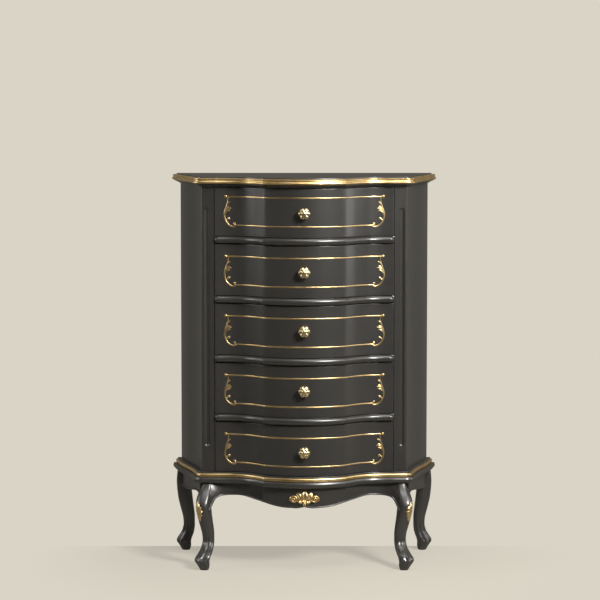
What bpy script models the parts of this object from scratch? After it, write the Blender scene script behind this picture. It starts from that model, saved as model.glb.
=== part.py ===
"""A tall serpentine chest of five drawers on four cabriole legs.

Lengths are metres and +Z is up. The front faces -Y, the left is -X, and the origin lies on the
floor under the middle of the whole chest.
"""

import math
from dataclasses import dataclass

import bmesh
import bpy
from mathutils import Vector

# Clearances
GAP = 0.0003
OVERRUN = 0.006
FRONT_SIDE_GAP = 0.0015
FRONT_TOP_GAP = 0.0020
FRONT_BOTTOM_GAP = 0.0010
RUNNER_GAP = 0.0004
BOX_SIDE_GAP = 0.0020
BOX_BACK_GAP = 0.0030

# The whole chest
TOTAL_HEIGHT = 1.206
TOP_DEPTH = 0.427
CASE_BACK_HALF_WIDTH = 0.3925
MOULDING_OVERHANG = 0.026
LEG_HEIGHT = 0.2605
BASE_THICKNESS = 0.0345
TOP_THICKNESS = 0.030
KNOB_PROJECTION = 0.030

# The front's three-part curve, seen from above
BOW_DEPTH = 0.102
RIDGE_DEPTH = 0.068
RIDGE_PLACE_SHARE = 0.4585
FLANK_MARGIN = 0.018
FLANK_POWER = 2.6
BOW_STEPS = 6
FLANK_STEPS = 6

# Corner posts and sides
OPENING_WIDTH_SHARE = 0.7057
POST_FACE = 0.0345
POST_SET_BACK = 0.003
POST_DEPTH = 0.045
CORNER_RADIUS = 0.005
CORNER_STEPS = 4
SIDE_WAVE = 0.004
SIDE_STEPS = 8
SIDE_THICKNESS = 0.018
GUIDE_THICKNESS = 0.012
BACK_PANEL_THICKNESS = 0.008
FLUTE_RADIUS = 0.0105
FLUTE_DEPTH = 0.0045
FLUTE_TOP_MARGIN = 0.062
FLUTE_BOTTOM_MARGIN = 0.076
FLUTE_SIDES = 24
FLUTE_END_RINGS = 4
FLUTE_POLE_ANGLE = math.radians(80)
FLUTE_PLACE_SHARE = 0.66

# Drawer openings, as shares of the height from the base board to the top, rails and dust boards
DRAWER_COUNT = 5
FIRST_OPENING_SHARE = 0.17313
DRAWER_PITCH_SHARE = 0.20772
RAIL_THICKNESS = 0.021
RAIL_BACK_REACH = 0.060
NOSE_PROJECTION = 0.013
NOSE_LAND = 0.003
NOSE_SHOULDER = 0.001
NOSE_ROWS = 6
NOSE_END_STEPS = 4
DUST_BOARD_THICKNESS = 0.008

# Drawers
FRONT_THICKNESS = 0.022
FRONT_EDGE = 0.0015
BOX_WALL = 0.012
BOX_HEIGHT_DROP = 0.032
BOX_BOTTOM_THICKNESS = 0.006
BOX_BOTTOM_LIFT = 0.008
GROOVE_DEPTH = 0.006

# Knobs: how high each sits on its drawer's front, as a share of the front's height; places along
# the stem and radii are shares of the projection and of the head's radius
KNOB_HEAD_RADIUS = 0.0175
KNOB_RISE_SHARES = (0.50, 0.50, 0.522, 0.522, 0.48)
KNOB_POINTS = 6
KNOB_STEPS_PER_POINT = 4
KNOB_PROFILE_SHARES = (
    (0.00, 0.50, 0.00),
    (0.10, 0.46, 0.00),
    (0.18, 0.31, 0.00),
    (0.42, 0.31, 0.00),
    (0.50, 0.55, 0.05),
    (0.58, 0.94, 0.16),
    (0.72, 1.00, 0.17),
    (0.86, 0.72, 0.12),
    (0.95, 0.36, 0.05),
    (1.00, 0.16, 0.00),
)

# Edge sections: how far out and how far up, as shares of the overhang and of the board's thickness
TOP_EDGE_SHARES = ((0.20, 0.0), (0.30, 0.07), (0.60, 0.15), (0.80, 0.19), (0.80, 0.25))
BASE_EDGE_SHARES = ((0.55, 0.0), (0.80, 0.03), (0.96, 0.14), (1.0, 0.30), (0.97, 0.42), (0.88, 0.53))
REBATE_SHARE = 0.45

# Gilded strips: how far out and how far up each reaches on its board, then the section within that
TOP_STRIP_REACH_SHARE = 1.0
TOP_STRIP_RISE_SHARE = 0.90
TOP_STRIP_SHARES = (
    (0.0, 0.0), (0.80, 0.0), (1.0, 0.16), (0.97, 0.34), (0.76, 0.50), (0.66, 0.70), (0.48, 0.90),
    (0.18, 1.0), (0.0, 1.0),
)
BASE_STRIP_REACH_SHARE = 0.67
BASE_STRIP_RISE_SHARE = 0.88
BASE_STRIP_SHARES = (
    (0.0, 0.0), (0.45, 0.0), (0.80, 0.14), (1.0, 0.42), (0.97, 0.68), (0.74, 0.90), (0.40, 1.0), (0.0, 1.0),
)

# Aprons: the lower edge's places and drops are shares of the length and of the deepest drop
APRON_THICKNESS = 0.014
APRON_OVERHANG = 0.006
APRON_DROP = 0.063
FRONT_APRON_REACH = 0.016
BACK_APRON_REACH = 0.008
FRONT_APRON_SHARES = (
    (0.0, 0.92), (0.08, 0.985), (0.126, 0.975), (0.214, 0.96), (0.318, 0.889), (0.423, 0.768),
    (0.530, 0.69), (0.618, 0.606), (0.672, 0.576), (0.743, 0.589), (0.831, 0.622), (0.902, 0.689),
    (0.951, 0.829), (0.971, 0.986), (1.0, 1.0),
)
SIDE_APRON_SHARES = (
    (0.0, 0.80), (0.15, 0.72), (0.30, 0.76), (0.50, 0.90), (0.65, 0.98), (0.80, 0.96), (1.0, 0.82),
)
SIDE_APRON_DROP = 0.050
SIDE_APRON_STEPS = 20
BACK_APRON_DROP = 0.045
BACK_APRON_SET_IN = 0.006

# Legs: a section's height, half width and the pull of ankle, knee and foot, all as shares;
# the last share stretches the section back to the block that holds the aprons
LEG_HALF_WIDTH = 0.0235
LEG_SIDES = 16
LEG_SQUARENESS = 3.0
LEG_SECTION_SHARES = (
    (0.000, 0.530, 0.06, 0.00, 0.94, 0.00),
    (0.045, 0.740, 0.02, 0.00, 0.98, 0.00),
    (0.090, 0.870, 0.00, 0.00, 1.00, 0.00),
    (0.125, 0.970, 0.00, 0.00, 1.00, 0.00),
    (0.160, 0.970, 0.08, 0.00, 0.92, 0.00),
    (0.200, 0.890, 0.34, 0.00, 0.66, 0.00),
    (0.240, 0.805, 0.72, 0.00, 0.28, 0.00),
    (0.305, 0.745, 1.00, 0.00, 0.00, 0.00),
    (0.360, 0.755, 0.98, 0.02, 0.00, 0.00),
    (0.420, 0.820, 0.86, 0.14, 0.00, 0.00),
    (0.470, 0.860, 0.72, 0.28, 0.00, 0.00),
    (0.520, 0.900, 0.55, 0.45, 0.00, 0.02),
    (0.580, 0.940, 0.35, 0.65, 0.00, 0.08),
    (0.640, 0.975, 0.17, 0.83, 0.00, 0.25),
    (0.720, 1.000, 0.03, 0.97, 0.00, 0.80),
    (0.780, 1.010, 0.00, 1.00, 0.00, 1.00),
    (0.857, 1.030, 0.00, 0.70, 0.00, 1.00),
    (0.933, 1.010, 0.00, 0.28, 0.00, 1.00),
    (1.000, 0.980, 0.00, 0.00, 0.00, 1.00),
)
FRONT_LEG_INSET_X = 0.0095
FRONT_LEG_INSET_Y = 0.012
FRONT_ANKLE_SWAY = (0.0122, -0.0365)
FRONT_KNEE_SWAY = (-0.0035, -0.0425)
FRONT_FOOT_SWAY = (-0.0008, -0.0765)
BACK_LEG_INSET_X = 0.0085
BACK_LEG_INSET_Y = 0.025
BACK_ANKLE_SWAY = (0.0170, 0.0)
BACK_KNEE_SWAY = (0.0022, 0.0)
BACK_FOOT_SWAY = (0.0052, 0.0)

# Gilded knee leaves, laid on the outer front side of the front legs
LEAF_THICKNESS = 0.0035
LEAF_SEAT_GAP = 0.0006
LEAF_LOW_SHARE = 0.565
LEAF_HIGH_SHARE = 0.80
LEAF_MIDDLE_ANGLE = math.radians(218)
LEAF_HALF_ANGLE = math.radians(34)
LEAF_OUTLINE_SHARES = ((0.0, 0.22), (0.25, 0.75), (0.50, 1.0), (0.80, 0.80), (1.0, 0.35))
LEAF_ROWS = 8
LEAF_COLUMNS = 7

# Gilded shell: its outline is the union of round lobes (x, z, radius) in shares of its half width
SHELL_HALF_WIDTH = 0.045
SHELL_RISE = 0.0382
SHELL_THICKNESS = 0.010
SHELL_LOBE_SHARES = (
    (0.0, 0.0, 0.42),
    (0.72, 0.0, 0.28), (-0.72, 0.0, 0.28),
    (0.43, 0.25, 0.21), (-0.43, 0.25, 0.21),
    (0.0, 0.34, 0.22),
    (0.26, -0.20, 0.18), (-0.26, -0.20, 0.18),
    (0.0, -0.32, 0.18),
)
SHELL_SPOKES = 48
SHELL_BACK_SHARES = (0.08, 0.36, 0.68, 1.0)
SHELL_FACE_SHARES = ((1.0, 0.35), (0.88, 0.72), (0.58, 0.86), (0.28, 1.0))

# Places that follow from the sizes above
BACK_Y = (TOP_DEPTH - MOULDING_OVERHANG + max(KNOB_PROJECTION, MOULDING_OVERHANG)) / 2
FRONT_Y = BACK_Y - (TOP_DEPTH - MOULDING_OVERHANG)
CORNER_Y = FRONT_Y + BOW_DEPTH
OPENING_HALF_WIDTH = CASE_BACK_HALF_WIDTH * OPENING_WIDTH_SHARE
RIDGE_X = OPENING_HALF_WIDTH * RIDGE_PLACE_SHARE
FLANK_END_X = OPENING_HALF_WIDTH - FLANK_MARGIN
BASE_TOP_Z = LEG_HEIGHT + BASE_THICKNESS
CASE_TOP_Z = TOTAL_HEIGHT - TOP_THICKNESS
FIRST_OPENING = (CASE_TOP_Z - BASE_TOP_Z) * FIRST_OPENING_SHARE
DRAWER_PITCH = (CASE_TOP_Z - BASE_TOP_Z) * DRAWER_PITCH_SHARE
BACK_PANEL_Y = BACK_Y - BACK_PANEL_THICKNESS
POST_BACK_Y = CORNER_Y + POST_DEPTH
RAIL_BACK_Y = CORNER_Y + RAIL_BACK_REACH
APRON_TOP_Z = LEG_HEIGHT - GAP
FORWARD = Vector((0, -1))


Point = tuple[float, float, float]
Ring = list[Point]
Shares = tuple[tuple[float, float], ...]


@dataclass(frozen=True)
class Finish:
    """How a material looks: its colour, roughness and metallic value."""

    name: str
    colour: tuple[float, float, float]
    roughness: float
    metallic: float = 0.0


LACQUER = Finish("black_lacquer", (0.040, 0.038, 0.033), 0.30)
GILDING = Finish("gold_leaf", (0.80, 0.50, 0.14), 0.30, 1.0)
KNOB_BRASS = Finish("gilt_brass", (0.83, 0.55, 0.17), 0.25, 1.0)
DRAWER_WOOD = Finish("drawer_wood", (0.52, 0.36, 0.20), 0.60)
CARCASS_WOOD = Finish("carcass_wood", (0.42, 0.30, 0.18), 0.65)


@dataclass(frozen=True)
class Station:
    """A point of the case's outline, and the way it moves when a moulding stands out from it."""

    point: Vector
    outward: Vector

    def at(self, overhang: float) -> Vector:
        """Return the point that lies outside the case by the overhang."""
        return self.point + self.outward * overhang

    def mirrored(self) -> "Station":
        """Return the same station on the other side of the chest."""
        flip = Vector((-1, 1))
        return Station(self.point * flip, self.outward * flip)


@dataclass(frozen=True)
class LegPlace:
    """Where a left leg stands: its top, and how far its ankle, knee and foot lie from under it."""

    top: Vector
    ankle: Vector
    knee: Vector
    foot: Vector
    block_back_y: float


@dataclass(frozen=True)
class BoardEdge:
    """A board that carries a moulded edge, and the gilded strip that lies in the edge's rebate."""

    low_z: float
    thickness: float
    edge_shares: Shares
    strip_reach_share: float
    strip_rise_share: float
    strip_shares: Shares


def clear_scene() -> None:
    """Remove every object, so that only the chest is left."""
    for item in list(bpy.data.objects):
        bpy.data.objects.remove(item, do_unlink=True)


def make_material(finish: Finish) -> bpy.types.Material:
    """Return the finish as a Principled material, made once."""
    found = bpy.data.materials.get(finish.name)
    if found:
        return found
    material = bpy.data.materials.new(finish.name)
    material.use_nodes = True
    shader = material.node_tree.nodes["Principled BSDF"]
    shader.inputs["Base Color"].default_value = (*finish.colour, 1.0)
    shader.inputs["Roughness"].default_value = finish.roughness
    shader.inputs["Metallic"].default_value = finish.metallic
    return material


def mesh_from_rings(name: str, rings: list[Ring], split: bool = False) -> bpy.types.Mesh:
    """Return a closed mesh through the rings, with a cap on the first and on the last.

    Split sides are triangles, so that a twisted form and the cutter round it stay evenly apart.
    """
    mesh = bpy.data.meshes.new(name)
    shape = bmesh.new()
    loops = [[shape.verts.new(point) for point in ring] for ring in rings]
    count = len(rings[0])
    for lower, upper in zip(loops, loops[1:]):
        for i in range(count):
            j = (i + 1) % count
            if split:
                shape.faces.new((lower[i], lower[j], upper[j]))
                shape.faces.new((lower[i], upper[j], upper[i]))
            else:
                shape.faces.new((lower[i], lower[j], upper[j], upper[i]))
    shape.faces.new(loops[0])
    shape.faces.new(loops[-1])
    bmesh.ops.recalc_face_normals(shape, faces=shape.faces)
    shape.to_mesh(mesh)
    shape.free()
    return mesh


def place(
    name: str,
    mesh: bpy.types.Mesh,
    finish: Finish,
    location: Point = (0, 0, 0),
    parent: bpy.types.Object | None = None,
    smooth_angle: float | None = None,
) -> bpy.types.Object:
    """Link a mesh as a named object at a place given in the chest's own frame."""
    item = bpy.data.objects.new(name, mesh)
    bpy.context.scene.collection.objects.link(item)
    if not mesh.materials:
        mesh.materials.append(make_material(finish))
    item.location = location
    if parent:
        item.parent = parent
        item.location = Vector(location) - parent.location
    if smooth_angle is not None:
        mesh.shade_smooth()
        mesh.set_sharp_from_angle(angle=smooth_angle)
    return item


def box_mesh(name: str, size: Point) -> bpy.types.Mesh:
    """Return a box centred on its own origin."""
    half_x, half_y, half_z = (length / 2 for length in size)
    corners = [(-half_x, -half_y), (half_x, -half_y), (half_x, half_y), (-half_x, half_y)]
    return mesh_from_rings(name, [[(x, y, z) for x, y in corners] for z in (-half_z, half_z)])


def place_board(
    name: str, low: Point, high: Point, finish: Finish, parent: bpy.types.Object | None = None
) -> bpy.types.Object:
    """Add a plain board that fills the space between two corners."""
    size = tuple(b - a for a, b in zip(low, high))
    centre = tuple((a + b) / 2 for a, b in zip(low, high))
    return place(name, box_mesh(name, size), finish, centre, parent)


def prism_rings(outline: list[Vector], heights: list[float]) -> list[Ring]:
    """Return the outline, seen from above, repeated at each height."""
    return [[(point.x, point.y, z) for point in outline] for z in heights]


def cut(item: bpy.types.Object, cutter: bpy.types.Object) -> None:
    """Cut one object with another, which stays in the scene as a wire guide."""
    cutter.hide_render = True
    cutter.display_type = "WIRE"
    modifier = item.modifiers.new(cutter.name, "BOOLEAN")
    modifier.operation = "DIFFERENCE"
    modifier.solver = "EXACT"
    modifier.object = cutter


def spaced(start: float, end: float, steps: int) -> list[float]:
    """Return evenly spaced values from start to end, with both ends."""
    return [start + (end - start) * i / steps for i in range(steps + 1)]


def read_smoothly(shares: tuple[tuple[float, float], ...], at: float) -> float:
    """Read a table of shares at a place, along a smooth curve through its rows."""
    last = len(shares) - 1
    row = next((i for i in range(last) if at <= shares[i + 1][0]), last - 1)

    def slope(i: int) -> float:
        (x_before, y_before), (x_after, y_after) = shares[max(i - 1, 0)], shares[min(i + 1, last)]
        return (y_after - y_before) / (x_after - x_before)

    (left, low), (right, high) = shares[row], shares[row + 1]
    width = right - left
    t = (at - left) / width
    values = low * (1 + 2 * t) * (1 - t) ** 2 + high * t * t * (3 - 2 * t)
    slopes = slope(row) * t * (1 - t) ** 2 - slope(row + 1) * t * t * (1 - t)
    return values + slopes * width


# The case's outline, seen from above


def front_y(x: float) -> float:
    """Return Y of the drawers' faces: a middle bow, a ridge on each side and two hollow flanks."""
    away = abs(x)
    if away <= RIDGE_X:
        ahead = RIDGE_DEPTH + (BOW_DEPTH - RIDGE_DEPTH) * (1 - (away / RIDGE_X) ** 2)
    elif away < FLANK_END_X:
        ahead = RIDGE_DEPTH * ((FLANK_END_X - away) / (FLANK_END_X - RIDGE_X)) ** FLANK_POWER
    else:
        ahead = 0
    return CORNER_Y - ahead


def front_xs(half_width: float, fineness: int = 1) -> list[float]:
    """Return X places across the front, from left to right, with one on each ridge."""
    right = spaced(0, RIDGE_X, BOW_STEPS * fineness)
    right += spaced(RIDGE_X, FLANK_END_X, FLANK_STEPS * fineness)[1:]
    right += [half_width]
    return [-x for x in reversed(right[1:])] + right


def corner_centre() -> Vector:
    """Return the centre of the left corner post's rounded corner."""
    return Vector((-(OPENING_HALF_WIDTH + POST_FACE), CORNER_Y + POST_SET_BACK + CORNER_RADIUS))


def side_angle() -> float:
    """Return the direction that the left side faces, from the line that touches the corner's round."""
    back_corner = Vector((-CASE_BACK_HALF_WIDTH, BACK_Y))
    reach = back_corner - corner_centre()
    return math.atan2(reach.y, reach.x) + math.acos(CORNER_RADIUS / reach.length)


def left_stations() -> list[Station]:
    """Return the left side's outline, from the back corner to the front end of the corner's round."""
    angle = side_angle()
    facing = Vector((math.cos(angle), math.sin(angle)))
    back_corner = Vector((-CASE_BACK_HALF_WIDTH, BACK_Y))
    front_end = corner_centre() + facing * CORNER_RADIUS
    stations = [Station(back_corner, Vector((1 / facing.x, 0)))]
    for t in spaced(0, 1, SIDE_STEPS)[1:-1]:
        wave = SIDE_WAVE * math.sin(2 * math.pi * t)
        stations.append(Station(back_corner.lerp(front_end, t) + facing * wave, facing))
    for turn in spaced(angle, 3 * math.pi / 2, CORNER_STEPS):
        radial = Vector((math.cos(turn), math.sin(turn)))
        stations.append(Station(corner_centre() + radial * CORNER_RADIUS, radial))
    return stations


def case_stations() -> list[Station]:
    """Return the case's whole outline but for the back, from the left back corner to the right."""
    left = left_stations()
    front = [Station(Vector((x, front_y(x))), FORWARD) for x in front_xs(OPENING_HALF_WIDTH)]
    right = [station.mirrored() for station in reversed(left)]
    return left + front + right


def part_behind(line: list[Vector], y: float) -> list[Vector]:
    """Return what lies behind Y of a line that starts at the back, ending in a point at Y."""
    kept = [line[0]]
    for point in line[1:]:
        if point.y <= y:
            t = (kept[-1].y - y) / (kept[-1].y - point.y)
            return kept + [kept[-1].lerp(point, t)]
        kept.append(point)
    return kept


def part_ahead(line: list[Vector], y: float) -> list[Vector]:
    """Return what lies ahead of Y of a line that starts at the back, from a point at Y."""
    start = part_behind(line, y)[-1]
    return [start] + [point for point in line if point.y < y]


def mirrored_outline(outline: list[Vector]) -> list[Vector]:
    """Return an outline on the other side of the chest."""
    return [Vector((-point.x, point.y)) for point in reversed(outline)]


# Top and base


def edged_board(name: str, edge: BoardEdge) -> bpy.types.Object:
    """Add a board of the case's outline, with a moulded lower edge and a rebate for a gilded strip."""
    section = [(out * MOULDING_OVERHANG, edge.low_z + up * edge.thickness) for out, up in edge.edge_shares]
    ledge_z = section[-1][1]
    rebate = REBATE_SHARE * MOULDING_OVERHANG
    section += [(rebate, ledge_z), (rebate, edge.low_z + edge.thickness)]
    stations = case_stations()
    rings = [[(*station.at(out), z) for station in stations] for out, z in section]
    return place(name, mesh_from_rings(name, rings), LACQUER, smooth_angle=math.radians(30))


def gilded_strip(name: str, edge: BoardEdge) -> bpy.types.Object:
    """Add the gilded moulding that lies in a board's rebate, round the front and both sides."""
    inner = REBATE_SHARE * MOULDING_OVERHANG + GAP
    width = edge.strip_reach_share * MOULDING_OVERHANG - inner
    bottom = edge.low_z + edge.edge_shares[-1][1] * edge.thickness + GAP
    height = edge.low_z + edge.strip_rise_share * edge.thickness - bottom
    section = [(inner + out * width, bottom + up * height) for out, up in edge.strip_shares]
    rings = [[(*station.at(out), z) for out, z in section] for station in case_stations()]
    return place(name, mesh_from_rings(name, rings), GILDING, smooth_angle=math.radians(40))


def make_top_and_base() -> None:
    """Add the top board, the base board and their gilded strips."""
    top = BoardEdge(
        CASE_TOP_Z, TOP_THICKNESS, TOP_EDGE_SHARES, TOP_STRIP_REACH_SHARE, TOP_STRIP_RISE_SHARE,
        TOP_STRIP_SHARES,
    )
    edged_board("top_board", top)
    gilded_strip("top_gilt_moulding", top)
    base = BoardEdge(
        LEG_HEIGHT, BASE_THICKNESS, BASE_EDGE_SHARES, BASE_STRIP_REACH_SHARE, BASE_STRIP_RISE_SHARE,
        BASE_STRIP_SHARES,
    )
    edged_board("base_board", base)
    gilded_strip("base_gilt_bead", base)


# Case


def post_outline() -> list[Vector]:
    """Return the left corner post, seen from above."""
    outer = [station.point for station in left_stations()]
    face_end = Vector((-OPENING_HALF_WIDTH, CORNER_Y))
    inner_back = Vector((-OPENING_HALF_WIDTH, POST_BACK_Y))
    return part_ahead(outer, POST_BACK_Y) + [face_end, inner_back]


def flute_cutter(name: str, x: float) -> bpy.types.Object:
    """Add the upright round-ended cutter that sinks a flute into a corner post's face."""
    face_y = CORNER_Y + POST_SET_BACK * FLUTE_PLACE_SHARE
    centre_y = face_y - (FLUTE_RADIUS - FLUTE_DEPTH)
    low = BASE_TOP_Z + FLUTE_BOTTOM_MARGIN + FLUTE_RADIUS
    high = CASE_TOP_Z - FLUTE_TOP_MARGIN - FLUTE_RADIUS
    rings = []
    turns = spaced(0, 2 * math.pi, FLUTE_SIDES)[:-1]
    for middle, start, end in ((low, -FLUTE_POLE_ANGLE, 0), (high, 0, FLUTE_POLE_ANGLE)):
        for rise in spaced(start, end, FLUTE_END_RINGS):
            radius = FLUTE_RADIUS * math.cos(rise)
            z = middle + FLUTE_RADIUS * math.sin(rise)
            rings.append([(x + radius * math.cos(a), centre_y + radius * math.sin(a), z) for a in turns])
    return place(name, mesh_from_rings(name, rings), LACQUER)


def make_posts() -> None:
    """Add both corner posts, each with its flute."""
    heights = [BASE_TOP_Z + GAP, CASE_TOP_Z - GAP]
    outline = post_outline()
    for name, points, side in (("left", outline, -1), ("right", mirrored_outline(outline), 1)):
        mesh = mesh_from_rings(f"corner_post_{name}", prism_rings(points, heights))
        post = place(f"corner_post_{name}", mesh, LACQUER, smooth_angle=math.radians(35))
        flute_x = side * (OPENING_HALF_WIDTH + POST_FACE * FLUTE_PLACE_SHARE)
        cut(post, flute_cutter(f"flute_{name}", flute_x))


def side_line(overhang: float) -> list[Vector]:
    """Return the left side's line, from the back corner forward, at an overhang."""
    return [station.at(overhang) for station in left_stations()]


def side_outline() -> list[Vector]:
    """Return the left side panel, seen from above."""
    start_y = POST_BACK_Y + GAP
    outer = part_behind(side_line(0), start_y)
    inner = part_behind(side_line(-SIDE_THICKNESS), start_y)
    return outer + list(reversed(inner))


def make_sides_and_back() -> None:
    """Add the flaring side panels, the straight guide panels and the back panel."""
    low_z = BASE_TOP_Z + GAP
    high_z = CASE_TOP_Z - GAP
    outline = side_outline()
    for name, points in (("left", outline), ("right", mirrored_outline(outline))):
        mesh = mesh_from_rings(f"side_panel_{name}", prism_rings(points, [low_z, high_z]))
        place(f"side_panel_{name}", mesh, LACQUER, smooth_angle=math.radians(35))
    for name, side in (("left", -1), ("right", 1)):
        faces = sorted((side * OPENING_HALF_WIDTH, side * (OPENING_HALF_WIDTH + GUIDE_THICKNESS)))
        low = (faces[0], POST_BACK_Y + GAP, low_z)
        high = (faces[1], BACK_PANEL_Y - GAP, high_z)
        place_board(f"guide_panel_{name}", low, high, CARCASS_WOOD)
    half_width = -part_behind(side_line(-SIDE_THICKNESS), BACK_PANEL_Y)[-1].x - GAP
    place_board("back_panel", (-half_width, BACK_PANEL_Y, low_z), (half_width, BACK_Y, high_z), CARCASS_WOOD)


def rail_top(index: int) -> float:
    """Return Z of the top of the rail under a drawer, or of the base board under the last one."""
    if index == DRAWER_COUNT - 1:
        return BASE_TOP_Z
    return CASE_TOP_Z - FIRST_OPENING - DRAWER_PITCH * index


def opening_top(index: int) -> float:
    """Return Z of the top of a drawer's opening."""
    if index == 0:
        return CASE_TOP_Z
    return rail_top(index - 1) - RAIL_THICKNESS


def rail_ring(nose: float, z: float) -> Ring:
    """Return one level of a rail, whose nose stands out from the drawers and rounds off at its ends."""
    half_width = OPENING_HALF_WIDTH - GAP
    straight = half_width - NOSE_PROJECTION
    front = [(x, front_y(x) - nose) for x in front_xs(straight)]
    end = []
    for turn in spaced(0, math.pi / 2, NOSE_END_STEPS)[1:]:
        end.append((straight + nose * math.sin(turn), CORNER_Y - nose * math.cos(turn)))
    end += [(half_width, CORNER_Y + NOSE_SHOULDER), (half_width, RAIL_BACK_Y)]
    left_end = [(-x, y) for x, y in reversed(end)]
    return [(x, y, z) for x, y in left_end + front + end]


def make_rails() -> None:
    """Add the rails between the drawers and the dust boards behind them."""
    rings = []
    for turn in spaced(-math.pi / 2, math.pi / 2, NOSE_ROWS):
        nose = NOSE_LAND + (NOSE_PROJECTION - NOSE_LAND) * math.cos(turn)
        rings.append(rail_ring(nose, RAIL_THICKNESS / 2 * math.sin(turn)))
    rail_mesh = mesh_from_rings("drawer_rail", rings)
    half_width = OPENING_HALF_WIDTH - GAP
    depth = BACK_PANEL_Y - RAIL_BACK_Y - 2 * GAP
    dust_mesh = box_mesh("dust_board", (2 * half_width, depth, DUST_BOARD_THICKNESS))
    dust_y = (BACK_PANEL_Y + RAIL_BACK_Y) / 2
    for index in range(DRAWER_COUNT - 1):
        top = rail_top(index)
        place(
            f"drawer_rail_{index + 1}", rail_mesh, LACQUER, (0, 0, top - RAIL_THICKNESS / 2),
            smooth_angle=math.radians(45),
        )
        dust_z = top - DUST_BOARD_THICKNESS / 2
        place(f"dust_board_{index + 1}", dust_mesh, CARCASS_WOOD, (0, dust_y, dust_z))


# Legs and aprons


def front_leg_place() -> LegPlace:
    """Return where the left front leg stands, under the corner post."""
    top = Vector((corner_centre().x - CORNER_RADIUS + FRONT_LEG_INSET_X, CORNER_Y + FRONT_LEG_INSET_Y))
    back = top.y + LEG_HALF_WIDTH * LEG_SECTION_SHARES[-1][1]
    return LegPlace(top, Vector(FRONT_ANKLE_SWAY), Vector(FRONT_KNEE_SWAY), Vector(FRONT_FOOT_SWAY), back)


def back_leg_place() -> LegPlace:
    """Return where the left back leg stands, inside the back corner."""
    top = Vector((-CASE_BACK_HALF_WIDTH + BACK_LEG_INSET_X, BACK_Y - BACK_LEG_INSET_Y))
    return LegPlace(top, Vector(BACK_ANKLE_SWAY), Vector(BACK_KNEE_SWAY), Vector(BACK_FOOT_SWAY), top.y)


def leg_section(leg: LegPlace, height_share: float) -> tuple[Vector, float, float]:
    """Return a section's centre, half width and half depth at a share of the leg's height."""
    rows = LEG_SECTION_SHARES
    upper = next(i for i in range(1, len(rows)) if height_share <= rows[i][0])
    low, high = rows[upper - 1], rows[upper]
    t = (height_share - low[0]) / (high[0] - low[0])
    width, ankle, knee, foot, block = (a + (b - a) * t for a, b in zip(low[1:], high[1:]))
    centre = leg.top + leg.ankle * ankle + leg.knee * knee + leg.foot * foot
    half = LEG_HALF_WIDTH * width
    back = centre.y + half
    back += block * max(0, leg.block_back_y - back)
    front = centre.y - half
    return Vector((centre.x, (front + back) / 2)), half, (back - front) / 2


def leg_point(leg: LegPlace, height_share: float, angle: float, raised: float) -> Point:
    """Return a point on the leg's surface, or raised above it."""
    centre, half_x, half_y = leg_section(leg, height_share)
    across, along = math.cos(angle), math.sin(angle)
    power = 2 / LEG_SQUARENESS
    x = math.copysign(abs(across) ** power, across) * (half_x + raised)
    y = math.copysign(abs(along) ** power, along) * (half_y + raised)
    return (centre.x + x, centre.y + y, height_share * (LEG_HEIGHT - GAP))


def leg_rings(leg: LegPlace, raised: float) -> list[Ring]:
    """Return the sections of a left leg, from the floor up."""
    turns = spaced(0, 2 * math.pi, LEG_SIDES)[:-1]
    return [[leg_point(leg, row[0], turn, raised) for turn in turns] for row in LEG_SECTION_SHARES]


def mirrored_rings(rings: list[Ring]) -> list[Ring]:
    """Return rings on the other side of the chest."""
    return [[(-x, y, z) for x, y, z in ring] for ring in rings]


def lengthened(rings: list[Ring]) -> list[Ring]:
    """Return a cutter's rings, run past both ends of what they cut."""
    first = [(x, y, z - OVERRUN) for x, y, z in rings[0]]
    last = [(x, y, z + OVERRUN) for x, y, z in rings[-1]]
    return [first] + rings + [last]


def make_legs() -> dict[str, bpy.types.Object]:
    """Add the four legs, and return a cutter of each that leaves a touching gap round it."""
    cutters = {}
    for row, leg in (("front", front_leg_place()), ("back", back_leg_place())):
        for side in ("left", "right"):
            name = f"{row}_{side}"
            body, room = leg_rings(leg, 0), lengthened(leg_rings(leg, GAP))
            if side == "right":
                body, room = mirrored_rings(body), mirrored_rings(room)
            mesh = mesh_from_rings(f"leg_{name}", body, split=True)
            place(f"leg_{name}", mesh, LACQUER, smooth_angle=math.radians(50))
            room_mesh = mesh_from_rings(f"leg_room_{name}", room, split=True)
            cutters[name] = place(f"leg_room_{name}", room_mesh, LACQUER)
    return cutters


def make_knee_leaves() -> None:
    """Add the gilded leaf on each front knee, which follows the leg's surface."""
    leg = front_leg_place()
    heights = set(spaced(LEAF_LOW_SHARE, LEAF_HIGH_SHARE, LEAF_ROWS))
    heights |= {row[0] for row in LEG_SECTION_SHARES if LEAF_LOW_SHARE < row[0] < LEAF_HIGH_SHARE}
    rings = []
    for height_share in sorted(heights):
        t = (height_share - LEAF_LOW_SHARE) / (LEAF_HIGH_SHARE - LEAF_LOW_SHARE)
        spread = LEAF_HALF_ANGLE * read_smoothly(LEAF_OUTLINE_SHARES, t)
        turns = spaced(LEAF_MIDDLE_ANGLE - spread, LEAF_MIDDLE_ANGLE + spread, LEAF_COLUMNS - 1)
        outer = [leg_point(leg, height_share, turn, LEAF_THICKNESS) for turn in turns]
        inner = [leg_point(leg, height_share, turn, LEAF_SEAT_GAP) for turn in reversed(turns)]
        rings.append(outer + inner)
    for side, points in (("left", rings), ("right", mirrored_rings(rings))):
        mesh = mesh_from_rings(f"knee_leaf_{side}", points)
        place(f"knee_leaf_{side}", mesh, GILDING, smooth_angle=math.radians(50))


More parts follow.
